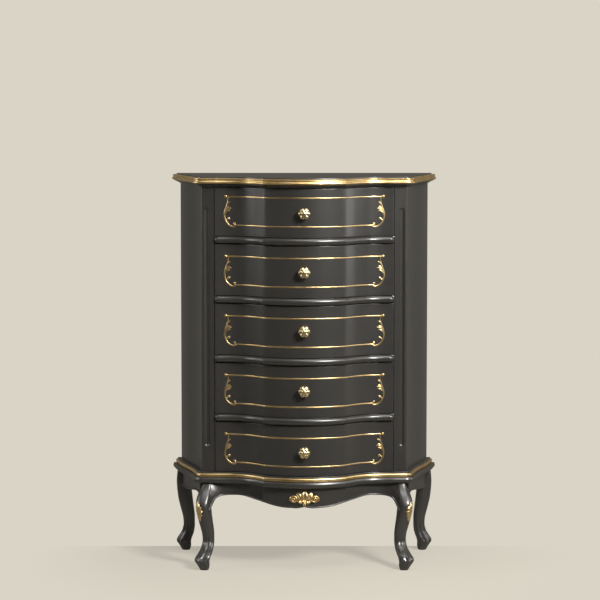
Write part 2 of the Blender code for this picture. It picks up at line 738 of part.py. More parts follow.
def make_front_apron(cutters: dict[str, bpy.types.Object]) -> None:
    """Add the front apron, which follows the serpentine front and has a scalloped lower edge."""
    half_length = OPENING_HALF_WIDTH + FRONT_APRON_REACH
    rings = []
    for x in front_xs(half_length, fineness=2):
        low = APRON_TOP_Z - APRON_DROP * read_smoothly(FRONT_APRON_SHARES, abs(x) / half_length)
        face = front_y(x) - APRON_OVERHANG
        back = face + APRON_THICKNESS
        rings.append([(x, face, APRON_TOP_Z), (x, face, low), (x, back, low), (x, back, APRON_TOP_Z)])
    mesh = mesh_from_rings("apron_front", rings)
    apron = place("apron_front", mesh, LACQUER, smooth_angle=math.radians(30))
    cut(apron, cutters["front_left"])
    cut(apron, cutters["front_right"])


def make_side_aprons(cutters: dict[str, bpy.types.Object]) -> None:
    """Add the side aprons, which run from the front legs to the back legs along the flaring sides."""
    start_y = front_leg_place().top.y
    end_y = back_leg_place().top.y
    face_line = side_line(APRON_OVERHANG)
    inner_line = side_line(APRON_OVERHANG - APRON_THICKNESS)
    rings = []
    for t in spaced(0, 1, SIDE_APRON_STEPS):
        y = start_y + (end_y - start_y) * t
        low = APRON_TOP_Z - SIDE_APRON_DROP * read_smoothly(SIDE_APRON_SHARES, t)
        face = part_behind(face_line, y)[-1].x
        inner = part_behind(inner_line, y)[-1].x
        rings.append([(face, y, APRON_TOP_Z), (face, y, low), (inner, y, low), (inner, y, APRON_TOP_Z)])
    for side, points in (("left", rings), ("right", mirrored_rings(rings))):
        mesh = mesh_from_rings(f"apron_{side}", points)
        apron = place(f"apron_{side}", mesh, LACQUER, smooth_angle=math.radians(30))
        cut(apron, cutters[f"front_{side}"])
        cut(apron, cutters[f"back_{side}"])


def make_back_apron(cutters: dict[str, bpy.types.Object]) -> None:
    """Add the plain board between the back legs."""
    half_length = CASE_BACK_HALF_WIDTH - BACK_LEG_INSET_X - LEG_HALF_WIDTH + BACK_APRON_REACH
    face = BACK_Y - BACK_APRON_SET_IN
    low = (-half_length, face - APRON_THICKNESS, APRON_TOP_Z - BACK_APRON_DROP)
    apron = place_board("apron_back", low, (half_length, face, APRON_TOP_Z), LACQUER)
    cut(apron, cutters["back_left"])
    cut(apron, cutters["back_right"])


def shell_reach(angle: float) -> float:
    """Return how far the shell's outline lies from its middle, as a share of its half width."""
    ray = Vector((math.cos(angle), math.sin(angle)))
    reach = 0.0
    for x, z, radius in SHELL_LOBE_SHARES:
        along = ray.dot(Vector((x, z)))
        aside = Vector((x, z)).length_squared - along**2
        if aside < radius**2:
            reach = max(reach, along + math.sqrt(radius**2 - aside))
    return reach


def make_shell() -> None:
    """Add the gilded shell on the middle of the front apron."""
    middle_z = LEG_HEIGHT - SHELL_RISE

    def point(angle: float, reach_share: float, thickness_share: float) -> Point:
        reach = shell_reach(angle) * SHELL_HALF_WIDTH * reach_share
        x = reach * math.cos(angle)
        y = front_y(x) - APRON_OVERHANG - GAP - SHELL_THICKNESS * thickness_share
        return (x, y, middle_z + reach * math.sin(angle))

    turns = spaced(0, 2 * math.pi, SHELL_SPOKES)[:-1]
    ring_shares = [(reach_share, 0) for reach_share in SHELL_BACK_SHARES] + list(SHELL_FACE_SHARES)
    rings = [[point(turn, reach, thickness) for turn in turns] for reach, thickness in ring_shares]
    mesh = mesh_from_rings("shell_ornament", rings)
    place("shell_ornament", mesh, GILDING, smooth_angle=math.radians(45))


# Drawers


def front_rings(height: float) -> list[Ring]:
    """Return the levels of a drawer front, with a small chamfer along its top and bottom edges."""
    xs = front_xs(OPENING_HALF_WIDTH - FRONT_SIDE_GAP)
    rings = []
    for z, set_in in ((0, FRONT_EDGE), (FRONT_EDGE, 0), (height - FRONT_EDGE, 0), (height, FRONT_EDGE)):
        face = [(x, front_y(x) + set_in, z) for x in xs]
        inner = [(x, front_y(x) + FRONT_THICKNESS, z) for x in reversed(xs)]
        rings.append(face + inner)
    return rings


def knob_rings() -> list[Ring]:
    """Return the turned stem and the flower head of a knob, from the drawer's face outwards."""
    turns = spaced(0, 2 * math.pi, KNOB_POINTS * KNOB_STEPS_PER_POINT)[:-1]
    rings = []
    for out_share, radius_share, notch_share in KNOB_PROFILE_SHARES:
        ring = []
        for turn in turns:
            notch = notch_share * (1 - math.cos(KNOB_POINTS * turn)) / 2
            radius = KNOB_HEAD_RADIUS * radius_share * (1 - notch)
            y = -GAP - out_share * (KNOB_PROJECTION - GAP)
            ring.append((radius * math.cos(turn), y, radius * math.sin(turn)))
        rings.append(ring)
    return rings


def side_board_rings(side: int, low_y: float, high_y: float, height: float) -> list[Ring]:
    """Return a drawer's side board with the groove that holds the bottom, from front to back."""
    outer = side * (OPENING_HALF_WIDTH - BOX_SIDE_GAP)
    inner = outer - side * BOX_WALL
    groove = inner + side * GROOVE_DEPTH
    groove_low = BOX_BOTTOM_LIFT - GAP
    groove_high = BOX_BOTTOM_LIFT + BOX_BOTTOM_THICKNESS + GAP
    section = [
        (outer, 0), (inner, 0), (inner, groove_low), (groove, groove_low),
        (groove, groove_high), (inner, groove_high), (inner, height), (outer, height),
    ]
    return [[(x, y, z) for x, z in section] for y in (low_y, high_y)]


def bottom_outline(back_y: float) -> list[Vector]:
    """Return a drawer's bottom, which follows the inside of the bowed front and lies in the grooves."""
    half_width = OPENING_HALF_WIDTH - BOX_SIDE_GAP - BOX_WALL + GROOVE_DEPTH - GAP
    front = [Vector((x, front_y(x) + FRONT_THICKNESS + GAP)) for x in front_xs(half_width)]
    return front + [Vector((half_width, back_y)), Vector((-half_width, back_y))]


def make_drawer(index: int, knob_mesh: bpy.types.Mesh) -> None:
    """Add one drawer: front, sides, back, bottom and knob, carried by an empty on its slide."""
    name = f"drawer_{index + 1}"
    floor_z = rail_top(index)
    front_z = floor_z + FRONT_BOTTOM_GAP
    front_height = opening_top(index) - FRONT_TOP_GAP - front_z
    knob_z = front_z + front_height * KNOB_RISE_SHARES[index]

    slide = bpy.data.objects.new(f"{name}_slide", None)
    bpy.context.scene.collection.objects.link(slide)
    slide.location = (0, FRONT_Y, knob_z)

    front_mesh = mesh_from_rings(f"{name}_front", front_rings(front_height))
    place(f"{name}_front", front_mesh, LACQUER, (0, 0, front_z), slide, math.radians(30))

    box_z = floor_z + RUNNER_GAP
    box_height = front_height - BOX_HEIGHT_DROP
    side_start = CORNER_Y + FRONT_THICKNESS + GAP
    back_end = BACK_PANEL_Y - BOX_BACK_GAP
    for side_name, side in (("left", -1), ("right", 1)):
        side_rings = side_board_rings(side, side_start, back_end, box_height)
        side_mesh = mesh_from_rings(f"{name}_side_{side_name}", side_rings)
        place(f"{name}_side_{side_name}", side_mesh, DRAWER_WOOD, (0, 0, box_z), slide)

    inner_x = OPENING_HALF_WIDTH - BOX_SIDE_GAP - BOX_WALL - GAP
    bottom_low = box_z + BOX_BOTTOM_LIFT
    bottom_high = bottom_low + BOX_BOTTOM_THICKNESS
    low = (-inner_x, back_end - BOX_WALL, bottom_high + GAP)
    place_board(f"{name}_back", low, (inner_x, back_end, box_z + box_height), DRAWER_WOOD, slide)

    bottom_mesh = mesh_from_rings(
        f"{name}_bottom", prism_rings(bottom_outline(back_end), [0, BOX_BOTTOM_THICKNESS])
    )
    place(f"{name}_bottom", bottom_mesh, CARCASS_WOOD, (0, 0, bottom_low), slide)
    place(f"{name}_knob", knob_mesh, KNOB_BRASS, (0, FRONT_Y, knob_z), slide, math.radians(40))


def make_drawers() -> None:
    """Add the five drawers, whose knobs share one mesh."""
    knob_mesh = mesh_from_rings("knob", knob_rings())
    for index in range(DRAWER_COUNT):
        make_drawer(index, knob_mesh)


def main() -> None:
    """Build the whole chest."""
    clear_scene()
    make_top_and_base()
    make_posts()
    make_sides_and_back()
    make_rails()
    cutters = make_legs()
    make_knee_leaves()
    make_front_apron(cutters)
    make_side_aprons(cutters)
    make_back_apron(cutters)
    make_shell()
    make_drawers()


main()
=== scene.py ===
"""The looks of a tall serpentine chest of five drawers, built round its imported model.

Lengths are metres and +Z is up. The front faces -Y, the left is -X, and the origin lies on the
floor under the middle of the chest.
"""

import logging
import math
from collections.abc import Callable, Iterable
from dataclasses import dataclass
from enum import Enum
from functools import partial

import bmesh
import bpy
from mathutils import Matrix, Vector


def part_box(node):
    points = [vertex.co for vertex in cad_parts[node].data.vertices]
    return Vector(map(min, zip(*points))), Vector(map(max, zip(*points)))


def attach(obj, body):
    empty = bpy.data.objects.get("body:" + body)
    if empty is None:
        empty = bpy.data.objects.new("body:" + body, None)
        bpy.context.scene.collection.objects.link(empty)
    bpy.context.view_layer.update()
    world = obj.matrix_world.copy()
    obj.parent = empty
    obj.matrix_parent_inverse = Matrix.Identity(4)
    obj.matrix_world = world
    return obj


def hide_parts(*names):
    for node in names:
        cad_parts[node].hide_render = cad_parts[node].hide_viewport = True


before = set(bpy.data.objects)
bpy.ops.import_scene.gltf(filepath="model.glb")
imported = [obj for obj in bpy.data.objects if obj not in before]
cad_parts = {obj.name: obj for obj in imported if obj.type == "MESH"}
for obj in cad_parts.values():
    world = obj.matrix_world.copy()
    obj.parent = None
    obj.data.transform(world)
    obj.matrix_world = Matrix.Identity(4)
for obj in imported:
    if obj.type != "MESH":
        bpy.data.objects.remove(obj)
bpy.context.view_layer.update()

CASE = "case"
DRAWER_COUNT = 5
FULL_TURN = 2 * math.pi
MILLIMETRES = 1000
WHITE = (1.0, 1.0, 1.0)
log = logging.getLogger("chest")

Pair = tuple[float, float]
Triple = tuple[float, float, float]
Shares = tuple[tuple[float, ...], ...]
Ring = list[Vector]
Socket = bpy.types.NodeSocket


class Slot(Enum):
    """The record's material slots."""

    LACQUER = "black_lacquer"
    GILDING = "gold_leaf"
    KNOB_BRASS = "gilt_brass"
    DRAWER_WOOD = "drawer_wood"
    CARCASS_WOOD = "carcass_wood"


class Side(Enum):
    """The left and the right half of the chest, by the sign of X."""

    LEFT = -1
    RIGHT = 1

    @property
    def word(self) -> str:
        """Return the side's name as the nodes spell it."""
        return self.name.lower()


class Grain(Enum):
    """The axis that a board's grain runs along."""

    ALONG_X = 0
    ALONG_Y = 1
    ALONG_Z = 2


# Small mathematics


def spaced(start: float, end: float, steps: int) -> list[float]:
    """Return evenly spaced values from start to end, with both ends."""
    return [start + (end - start) * i / steps for i in range(steps + 1)]


def smooth_step(low: float, high: float, value: float) -> float:
    """Return a value from 0 at low to 1 at high that starts and ends gently."""
    t = min(max((value - low) / (high - low), 0.0), 1.0)
    return t * t * (3 - 2 * t)


def read_smoothly(rows: Shares, at: float, column: int = 1) -> float:
    """Read a column of a table at a place, along a smooth curve through its rows.

    Args:
        rows: The table, whose first column holds rising places.
        at: The place to read.
        column: Which column to read.

    Returns:
        The column's value at that place.
    """
    last = len(rows) - 1
    row = next((i for i in range(last) if at <= rows[i + 1][0]), last - 1)

    def slope(i: int) -> float:
        """Return how steeply the column runs through a row."""
        before, after = rows[max(i - 1, 0)], rows[min(i + 1, last)]
        return (after[column] - before[column]) / (after[0] - before[0])

    width = rows[row + 1][0] - rows[row][0]
    t = min(max((at - rows[row][0]) / width, 0.0), 1.0)
    values = rows[row][column] * (1 + 2 * t) * (1 - t) ** 2 + rows[row + 1][column] * t * t * (3 - 2 * t)
    slopes = slope(row) * t * (1 - t) ** 2 - slope(row + 1) * t * t * (1 - t)
    return values + slopes * width


def smooth_path(points: list[Vector], steps: int) -> list[Vector]:
    """Return a smooth line through the points.

    Args:
        points: The places that the line runs through.
        steps: How many pieces lie between two of them.

    Returns:
        The line's points, from the first place to the last.
    """
    ends = [points[0] * 2 - points[1]] + points + [points[-1] * 2 - points[-2]]
    line = [points[0].copy()]
    for before, start, end, after in zip(ends, ends[1:], ends[2:], ends[3:]):
        for i in range(1, steps + 1):
            t = i / steps
            line.append(
                0.5 * (2 * start + (end - before) * t + (2 * before - 5 * start + 4 * end - after) * t * t
                       + (3 * start - before - 3 * end + after) * t**3)
            )
    return line


# Shaping


class Shape:
    """A mesh in the making, shaped with bmesh operators."""

    def __init__(self, rings: list[Ring] | None = None) -> None:
        """Start with nothing, or with a body that is drawn through rings.

        Args:
            rings: Where the body's ring lies at each place.
        """
        self.bm = bmesh.new()
        if rings:
            self.loft(rings)

    def loft(self, rings: list[Ring]) -> None:
        """Extrude a closed ring from place to place, and fill both ends.

        Args:
            rings: Where the ring's points lie at each place.
        """
        verts = [self.bm.verts.new(point) for point in rings[0]]
        edges = [self.bm.edges.new(pair) for pair in self._pairs(verts)]
        ends = [edges]
        for ring in rings[1:]:
            geometry = bmesh.ops.extrude_edge_only(self.bm, edges=edges)["geom"]
            fresh = {item for item in geometry if isinstance(item, bmesh.types.BMVert)}
            verts = [self._partner(vert, fresh) for vert in verts]
            for vert, point in zip(verts, ring):
                vert.co = point
            edges = [self.bm.edges.get(pair) for pair in self._pairs(verts)]
        ends.append(edges)
        for loop in ends:
            bmesh.ops.edgeloop_fill(self.bm, edges=loop)

    def ball(self, place: Callable[[Vector], Vector], segments: int, rings: int) -> None:
        """Add a round body whose unit sphere is laid out by a function.

        Args:
            place: Gives the place of a point of the unit sphere.
            segments: Faces round the sphere.
            rings: Faces from pole to pole.
        """
        made = bmesh.ops.create_uvsphere(self.bm, u_segments=segments, v_segments=rings, radius=1.0)
        for vert in made["verts"]:
            vert.co = place(vert.co.copy())

    def bevel_sharp(self, angle: float, width: float, segments: int) -> None:
        """Round every edge that is sharper than an angle.

        Args:
            angle: The least angle between two faces, in degrees.
            width: Width of the rounding.
            segments: How many strips the rounding has.
        """
        self.bm.normal_update()
        sharp = [
            edge for edge in self.bm.edges
            if len(edge.link_faces) == 2 and edge.calc_face_angle(0.0) > math.radians(angle)
        ]
        bmesh.ops.bevel(
            self.bm, geom=sharp, offset=width, offset_type="OFFSET", affect="EDGES", segments=segments,
            profile=0.5, material=-1, clamp_overlap=True,
        )

    def finish(self, name: str) -> bpy.types.Mesh:
        """Close the shape into a mesh whose faces point outwards.

        Args:
            name: The mesh's name.

        Returns:
            The mesh.
        """
        bmesh.ops.remove_doubles(self.bm, verts=self.bm.verts, dist=1e-6)
        bmesh.ops.recalc_face_normals(self.bm, faces=self.bm.faces)
        mesh = bpy.data.meshes.new(name)
        self.bm.to_mesh(mesh)
        self.bm.free()
        return mesh

    @staticmethod
    def _pairs(verts: list) -> Iterable[tuple]:
        """Return neighbouring pairs of a ring's vertices."""
        return zip(verts, verts[1:] + verts[:1])

    @staticmethod
    def _partner(vert: bmesh.types.BMVert, fresh: set) -> bmesh.types.BMVert:
        """Return the new vertex that an extrusion drew out of an old one."""
        return next(edge.other_vert(vert) for edge in vert.link_edges if edge.other_vert(vert) in fresh)


def mirrored(rings: list[Ring]) -> list[Ring]:
    """Return rings on the other side of the chest."""
    return [[Vector((-point.x, point.y, point.z)) for point in ring] for ring in rings]


def sided(rings: list[Ring], side: Side) -> list[Ring]:
    """Return rings that were drawn for the left, on the side that is asked for."""
    return rings if side is Side.LEFT else mirrored(rings)


@dataclass
class Dresser:
    """Turns finished shapes into pieces of the chest, and gives the CAD nodes their materials."""

    materials: dict[str, bpy.types.Material]
    count: int = 0

    def add(self, node: str, look: str, shape: Shape, slot: Slot, smooth: float, body: str = CASE) -> None:
        """Add a piece, which replaces the CAD node that it is named for.

        Args:
            node: The CAD node, or the body if the piece replaces no node.
            look: The word that the piece's name adds to that.
            shape: Its shape, which is closed here.
            slot: The record's slot that its finish comes from.
            smooth: The angle in degrees past which an edge is shown sharp.
            body: The moving body that it belongs to.
        """
        name = f"{node}_{look}"
        mesh = shape.finish(name)
        mesh.shade_smooth()
        mesh.set_sharp_from_angle(angle=math.radians(smooth))
        mesh.materials.append(self.materials[slot.value])
        piece = bpy.data.objects.new(name, mesh)
        bpy.context.scene.collection.objects.link(piece)
        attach(piece, body)
        replaces = (node,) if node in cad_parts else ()
        if replaces:
            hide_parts(*replaces)
        self.count += 1
        log.info("%s: %d faces, on %s", name, len(mesh.polygons), body)

    def dress(self, node: str, slot: Slot, grain: Grain) -> None:
        """Give a CAD node its wood, and leave its shape alone.

        Args:
            node: The CAD node.
            slot: The record's slot of the wood.
            grain: How the wood's grain runs.
        """
        material = wood_name(slot, grain)
        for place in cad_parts[node].material_slots:
            place.material = self.materials[material]
        log.info("%s: dressed in %s", node, material)


# Finishes


def wood_name(slot: Slot, grain: Grain) -> str:
    """Return the name of a wood whose grain runs along an axis."""
    return f"{slot.value}_{grain.name.lower()}"


class Graph:
    """The nodes of a material or of the world, with short ways to add and join them."""

    def __init__(self, owner: bpy.types.Material | bpy.types.World) -> None:
        """Start with the owner's own nodes.

        Args:
            owner: The material or the world.
        """
        owner.use_nodes = True
        self.owner = owner
        self.tree = owner.node_tree

    def feed(self, target: Socket, value: float | Triple | Socket) -> None:
        """Give an input a number, a vector or a colour, or join a socket to it.

        Args:
            target: The input.
            value: What it gets.
        """
        if isinstance(value, Socket):
            self.tree.links.new(value, target)
        elif target.type == "RGBA":
            target.default_value = (*value, 1.0)
        else:
            target.default_value = value

    def node(self, kind: str, **values: float | Triple | Socket) -> bpy.types.Node:
        """Add a node.

        Args:
            kind: Its type, without the words that every type starts with.
            values: What its inputs get, by their names with underscores for spaces.

        Returns:
            The node.
        """
        node = self.tree.nodes.new("ShaderNode" + kind)
        for name, value in values.items():
            self.feed(node.inputs[name.replace("_", " ")], value)
        return node

    def worked(self, kind: str, operation: str, *values: float | Triple | Socket) -> Socket:
        """Return the number that an operation makes of its inputs.

        Args:
            kind: Math or VectorMath.
            operation: What it does.
            values: Its inputs in their order.

        Returns:
            The result.
        """
        node = self.node(kind)
        node.operation = operation
        for target, value in zip(node.inputs, values):
            self.feed(target, value)
        return node.outputs["Value"]

    def moved(self, value: Socket, span: Pair, ends: Pair, course: str = "SMOOTHSTEP") -> Socket:
        """Return a value moved from a span to other ends.

        Args:
            value: The value.
            span: Where the change starts and where it ends.
            ends: What the result is there.
            course: How it runs between the two.

        Returns:
            The result.
        """
        node = self.node("MapRange", Value=value)
        node.interpolation_type = course
        for name, number in zip(("From Min", "From Max", "To Min", "To Max"), (*span, *ends)):
            self.feed(node.inputs[name], number)
        return node.outputs["Result"]


class FinishGraph(Graph):
    """A finish's nodes, round its main shader."""

    pattern_middle: Pair = (0.3, 0.7)

    def __init__(self, name: str, colour: Triple, roughness: float, metallic: float) -> None:
        """Start a material.

        Args:
            name: Name of the material.
            colour: Its plain colour.
            roughness: Its plain roughness.
            metallic: Its metallic value.
        """
        super().__init__(bpy.data.materials.new(name))
        self.inputs = self.tree.nodes["Principled BSDF"].inputs
        for key, value in (("Base Color", colour), ("Roughness", roughness), ("Metallic", metallic)):
            self.feed(self.inputs[key], value)
        self.place = self.node("TexCoord").outputs["Object"]

    def noise(
        self, scale: float, detail: float, roughness: float = 0.5, distortion: float = 0.0,
        vector: Socket | None = None,
    ) -> Socket:
        """Return a cloudy pattern.

        Args:
            scale: How fine the pattern is, in turns to the metre.
            detail: How many finer layers it has.
            roughness: How strong the finer layers are.
            distortion: How much the pattern is stirred.
            vector: The coordinates that it is read at, the object's own if left out.

        Returns:
            The pattern's value.
        """
        node = self.node(
            "TexNoise", Scale=scale, Detail=detail, Roughness=roughness, Distortion=distortion,
            Vector=vector or self.place,
        )
        return node.outputs["Fac"]

    def ramp(self, value: Socket, *stops: tuple[float, Triple]) -> Socket:
        """Return colours for a value.

        Args:
            value: The value.
            stops: Places along it, each with its colour.

        Returns:
            The colour.
        """
        node = self.node("ValToRGB", Fac=value)
        elements = node.color_ramp.elements
        while len(elements) < len(stops):
            elements.new(0.5)
        for element, (place, colour) in zip(elements, stops):
            element.position = place
            element.color = (*colour, 1.0)
        return node.outputs["Color"]

    def coat(self, colour: Socket, wear: Socket, roughness: Pair) -> None:
        """Lay a colour on the surface, and a roughness that follows a pattern of wear."""
        self.feed(self.inputs["Base Color"], colour)
        self.feed(self.inputs["Roughness"], self.moved(wear, self.pattern_middle, roughness, "LINEAR"))

    def bump(self, height: Socket, distance: float, strength: float) -> None:
        """Raise the surface by a pattern, on top of what already raises it.

        Args:
            height: The pattern.
            distance: How high it stands, in metres.
            strength: How much of it shows.
        """
        node = self.node("Bump", Distance=distance, Strength=strength, Height=height)
        normal = self.inputs["Normal"]
        if normal.is_linked:
            self.feed(node.inputs["Normal"], normal.links[0].from_socket)
        self.feed(normal, node.outputs["Normal"])


@dataclass(frozen=True)
class LacquerFinish:
    """Satin black lacquer over close-grained wood, a little warm and slightly uneven from rubbing.

    The peel and the waves hold how fine they are, how high they stand and how much they show.
    """

    name: str = Slot.LACQUER.value
    deep: Triple = (0.0248, 0.0231, 0.0208)
    pale: Triple = (0.0284, 0.0265, 0.0239)
    roughness: Pair = (0.29, 0.33)
    sheen: float = 0.95
    cloud_scale: float = 5.0
    rub_scale: float = 46.0
    peel: Triple = (700.0, 0.00004, 0.25)
    waves: Triple = (15.0, 0.0006, 0.10)

    def make(self) -> bpy.types.Material:
        """Make the material.

        Returns:
            The material.
        """
        graph = FinishGraph(self.name + "_satin", self.deep, self.roughness[0], 0.0)
        graph.feed(graph.inputs["Specular IOR Level"], self.sheen)
        cloud = graph.noise(self.cloud_scale, detail=4, distortion=0.4)
        rub = graph.noise(self.rub_scale, detail=5, roughness=0.6)
        graph.coat(graph.ramp(cloud, (0.32, self.deep), (0.68, self.pale)), rub, self.roughness)
        for scale, height, strength in (self.peel, self.waves):
            graph.bump(graph.noise(scale, detail=2), height, strength)
        return graph.owner


@dataclass(frozen=True)
class GiltFinish:
    """Gold leaf, or gilt brass: bright where it is rubbed, and browner in other cloudy patches."""

    name: str
    bright: Triple
    middle: Triple
    deep: Triple
    roughness: Pair
    cloud_scale: float
    grain_scale: float
    grain_depth: float
    grain_strength: float = 0.35

    def make(self) -> bpy.types.Material:
        """Make the material.

        Returns:
            The material.
        """
        graph = FinishGraph(self.name + "_rubbed", self.bright, self.roughness[0], 1.0)
        cloud = graph.noise(self.cloud_scale, detail=5, roughness=0.62, distortion=0.6)
        colour = graph.ramp(cloud, (0.30, self.deep), (0.46, self.middle), (0.66, self.bright))
        grain = graph.noise(self.grain_scale, detail=3, roughness=0.6)
        graph.coat(colour, grain, self.roughness)
        graph.bump(grain, self.grain_depth, self.grain_strength)
        return graph.owner


@dataclass(frozen=True)
class WoodFinish:
    """Plain oiled wood whose grain runs along one axis."""

    slot: Slot
    grain: Grain
    light: Triple
    dark: Triple
    vein: Triple
    roughness: Pair = (0.48, 0.62)
    figure_scale: float = 20.0
    figure_stretch: float = 0.09
    pore_scale: float = 420.0
    pore_stretch: float = 0.03
    pore_depth: float = 0.0002
    pore_strength: float = 0.4
    vein_share: float = 0.55

    @property
    def name(self) -> str:
        """Return the material's name."""
        return wood_name(self.slot, self.grain)

    def make(self) -> bpy.types.Material:
        """Make the material.

        Returns:
            The material.
        """
        graph = FinishGraph(self.name, self.light, self.roughness[0], 0.0)
        places = []
        for stretch in (self.figure_stretch, self.pore_stretch):
            along = [1.0, 1.0, 1.0]
            along[self.grain.value] = stretch
            places.append(graph.node("Mapping", Vector=graph.place, Scale=tuple(along)).outputs["Vector"])
        figure = graph.noise(self.figure_scale, detail=4, roughness=0.55, distortion=1.6, vector=places[0])
        pores = graph.noise(self.pore_scale, detail=3, roughness=0.7, vector=places[1])
        grained = graph.node("Mix")
        grained.data_type = "RGBA"
        grained.blend_type = "MULTIPLY"
        board = graph.ramp(figure, (0.30, self.dark), (0.50, self.light), (0.74, self.dark))
        veined = graph.ramp(pores, (0.36, self.vein), (0.52, WHITE))
        for key, value in (("Factor", self.vein_share), ("A", board), ("B", veined)):
            graph.feed(grained.inputs[key], value)
        graph.coat(grained.outputs["Result"], figure, self.roughness)
        graph.bump(pores, self.pore_depth, self.pore_strength)
        return graph.owner


def make_finishes() -> dict[str, bpy.types.Material]:
    """Make every material of the chest.

    Returns:
        The materials, by the names that pieces and boards ask for.
    """
    gold = GiltFinish(
        Slot.GILDING.value, bright=(0.88, 0.67, 0.35), middle=(0.80, 0.57, 0.26), deep=(0.66, 0.43, 0.175),
        roughness=(0.28, 0.40), cloud_scale=26.0, grain_scale=520.0, grain_depth=0.00008,
    )
    brass = GiltFinish(
        Slot.KNOB_BRASS.value, bright=(0.94, 0.78, 0.48), middle=(0.88, 0.69, 0.38), deep=(0.70, 0.50, 0.23),
        roughness=(0.24, 0.34), cloud_scale=70.0, grain_scale=900.0, grain_depth=0.00006,
    )
    woods = {
        Slot.DRAWER_WOOD: ((0.50, 0.34, 0.19), (0.37, 0.235, 0.12), (0.55, 0.46, 0.36)),
        Slot.CARCASS_WOOD: ((0.40, 0.28, 0.165), (0.30, 0.20, 0.11), (0.50, 0.42, 0.33)),
    }
    finishes = [LacquerFinish(), gold, brass]
    finishes += [WoodFinish(slot, grain, *tones) for slot, tones in woods.items() for grain in Grain]
    return {finish.name: finish.make() for finish in finishes}


# The case's outline, seen from above


@dataclass(frozen=True)
class FrontCurve:
    """The drawers' line: a middle bow, a ridge on each side and two hollow flanks.

    Its zones hold how far each stretch of the front goes and in how many steps.
    """

    corner_y: float = -0.0835
    bow_depth: float = 0.102
    ridge_depth: float = 0.068
    ridge_x: float = 0.127
    flank_end_x: float = 0.259
    flank_power: float = 2.6
    ridge_reach: float = 0.052
    softness: float = 0.0030
    ridge_zone: float = 0.024
    end_zone: float = 0.03
    zone_steps: tuple[int, ...] = (14, 24, 18, 10)
    least_step: float = 0.0005

    def y(self, x: float, softness: float = 0.0) -> float:
        """Return Y of the drawers' faces.

        Args:
            x: The place across the front.
            softness: How far the ridge is rubbed down.

        Returns:
            Y of the face there.
        """
        away = abs(x)
        bow = self.ridge_depth + (self.bow_depth - self.ridge_depth) * (1 - (away / self.ridge_x) ** 2)
        hollow = max(self.flank_end_x - away, 0.0) / (self.flank_end_x - self.ridge_x)
        flank = self.ridge_depth * hollow**self.flank_power
        from_ridge = abs(away - self.ridge_x)
        if from_ridge >= self.ridge_reach or softness == 0.0:
            return self.corner_y - (bow if away <= self.ridge_x else flank)
        soft = softness * (1 - smooth_step(self.ridge_reach / 2, self.ridge_reach, from_ridge))
        ahead = 0.5 * (bow + flank - math.sqrt((bow - flank) ** 2 + 4 * soft**2))
        return self.corner_y - ahead

    def face_y(self, x: float) -> float:
        """Return Y of the drawers' faces, whose ridges are rubbed down."""
        return self.y(x, self.softness)

    def xs(self, half_width: float) -> list[float]:
        """Return X places across the front, closest together at the ridges.

        Args:
            half_width: How far they go to each side.

        Returns:
            The places, from the left to the right.
        """
        before, behind = self.ridge_x - self.ridge_zone, self.ridge_x + self.ridge_zone
        stops = (0, before, behind, self.flank_end_x, self.flank_end_x + self.end_zone)
        right = [0.0]
        for start, end, steps in zip(stops, stops[1:], self.zone_steps):
            right += spaced(start, end, steps)[1:]
        right = [x for x in right if x < half_width - self.least_step] + [half_width]
        return [-x for x in reversed(right[1:])] + right


@dataclass(frozen=True)
class Station:
    """A point of the outline, and the way it moves when a moulding stands out from it."""

    point: Vector
    outward: Vector

    def at(self, overhang: float, z: float) -> Vector:
        """Return the point that lies outside the case by the overhang, at a height."""
        flat = self.point + self.outward * overhang
        return Vector((flat.x, flat.y, z))


@dataclass(frozen=True)
class CaseOutline:
    """The case's line round its front and its two flaring sides."""

    front: FrontCurve = FrontCurve()
    back_half_width: float = 0.3925
    back_y: float = 0.2155
    opening_half_width: float = 0.277
    post_face: float = 0.0345
    post_set_back: float = 0.003
    corner_radius: float = 0.005
    side_wave: float = 0.004
    side_steps: int = 28
    corner_steps: int = 12

    @property
    def corner_centre(self) -> Vector:
        """Return the middle of the left corner's round."""
        x = -(self.opening_half_width + self.post_face)
        return Vector((x, self.front.corner_y + self.post_set_back + self.corner_radius))

    @property
    def side_angle(self) -> float:
        """Return the direction that the left side faces."""
        reach = Vector((-self.back_half_width, self.back_y)) - self.corner_centre
        return math.atan2(reach.y, reach.x) + math.acos(self.corner_radius / reach.length)

    def left(self) -> list[Station]:
        """Draw the left side.

        Returns:
            Its stations, from the back corner to the front end of the corner's round.
        """
        angle = self.side_angle
        facing = Vector((math.cos(angle), math.sin(angle)))
        back_corner = Vector((-self.back_half_width, self.back_y))
        front_end = self.corner_centre + facing * self.corner_radius
        stations = [Station(back_corner, Vector((1 / facing.x, 0)))]
        for t in spaced(0, 1, self.side_steps)[1:-1]:
            wave = self.side_wave * math.sin(FULL_TURN * t)
            stations.append(Station(back_corner.lerp(front_end, t) + facing * wave, facing))
        for turn in spaced(angle, 3 * math.pi / 2, self.corner_steps):
            radial = Vector((math.cos(turn), math.sin(turn)))
            stations.append(Station(self.corner_centre + radial * self.corner_radius, radial))
        return stations

    def whole(self) -> list[Station]:
        """Draw the outline but for the back.

        Returns:
            Its stations, from the left back corner round the front to the right one.
        """
        left = self.left()
        forward = Vector((0, -1))
        places = self.front.xs(self.opening_half_width)
        front = [Station(Vector((x, self.front.y(x))), forward) for x in places]
        flip = Vector((-1, 1))
        right = [Station(station.point * flip, station.outward * flip) for station in reversed(left)]
        return left + front + right

    def side_line(self, overhang: float) -> list[Vector]:
        """Return the left side's line at an overhang, from the back corner forward."""
        return [station.point + station.outward * overhang for station in self.left()]


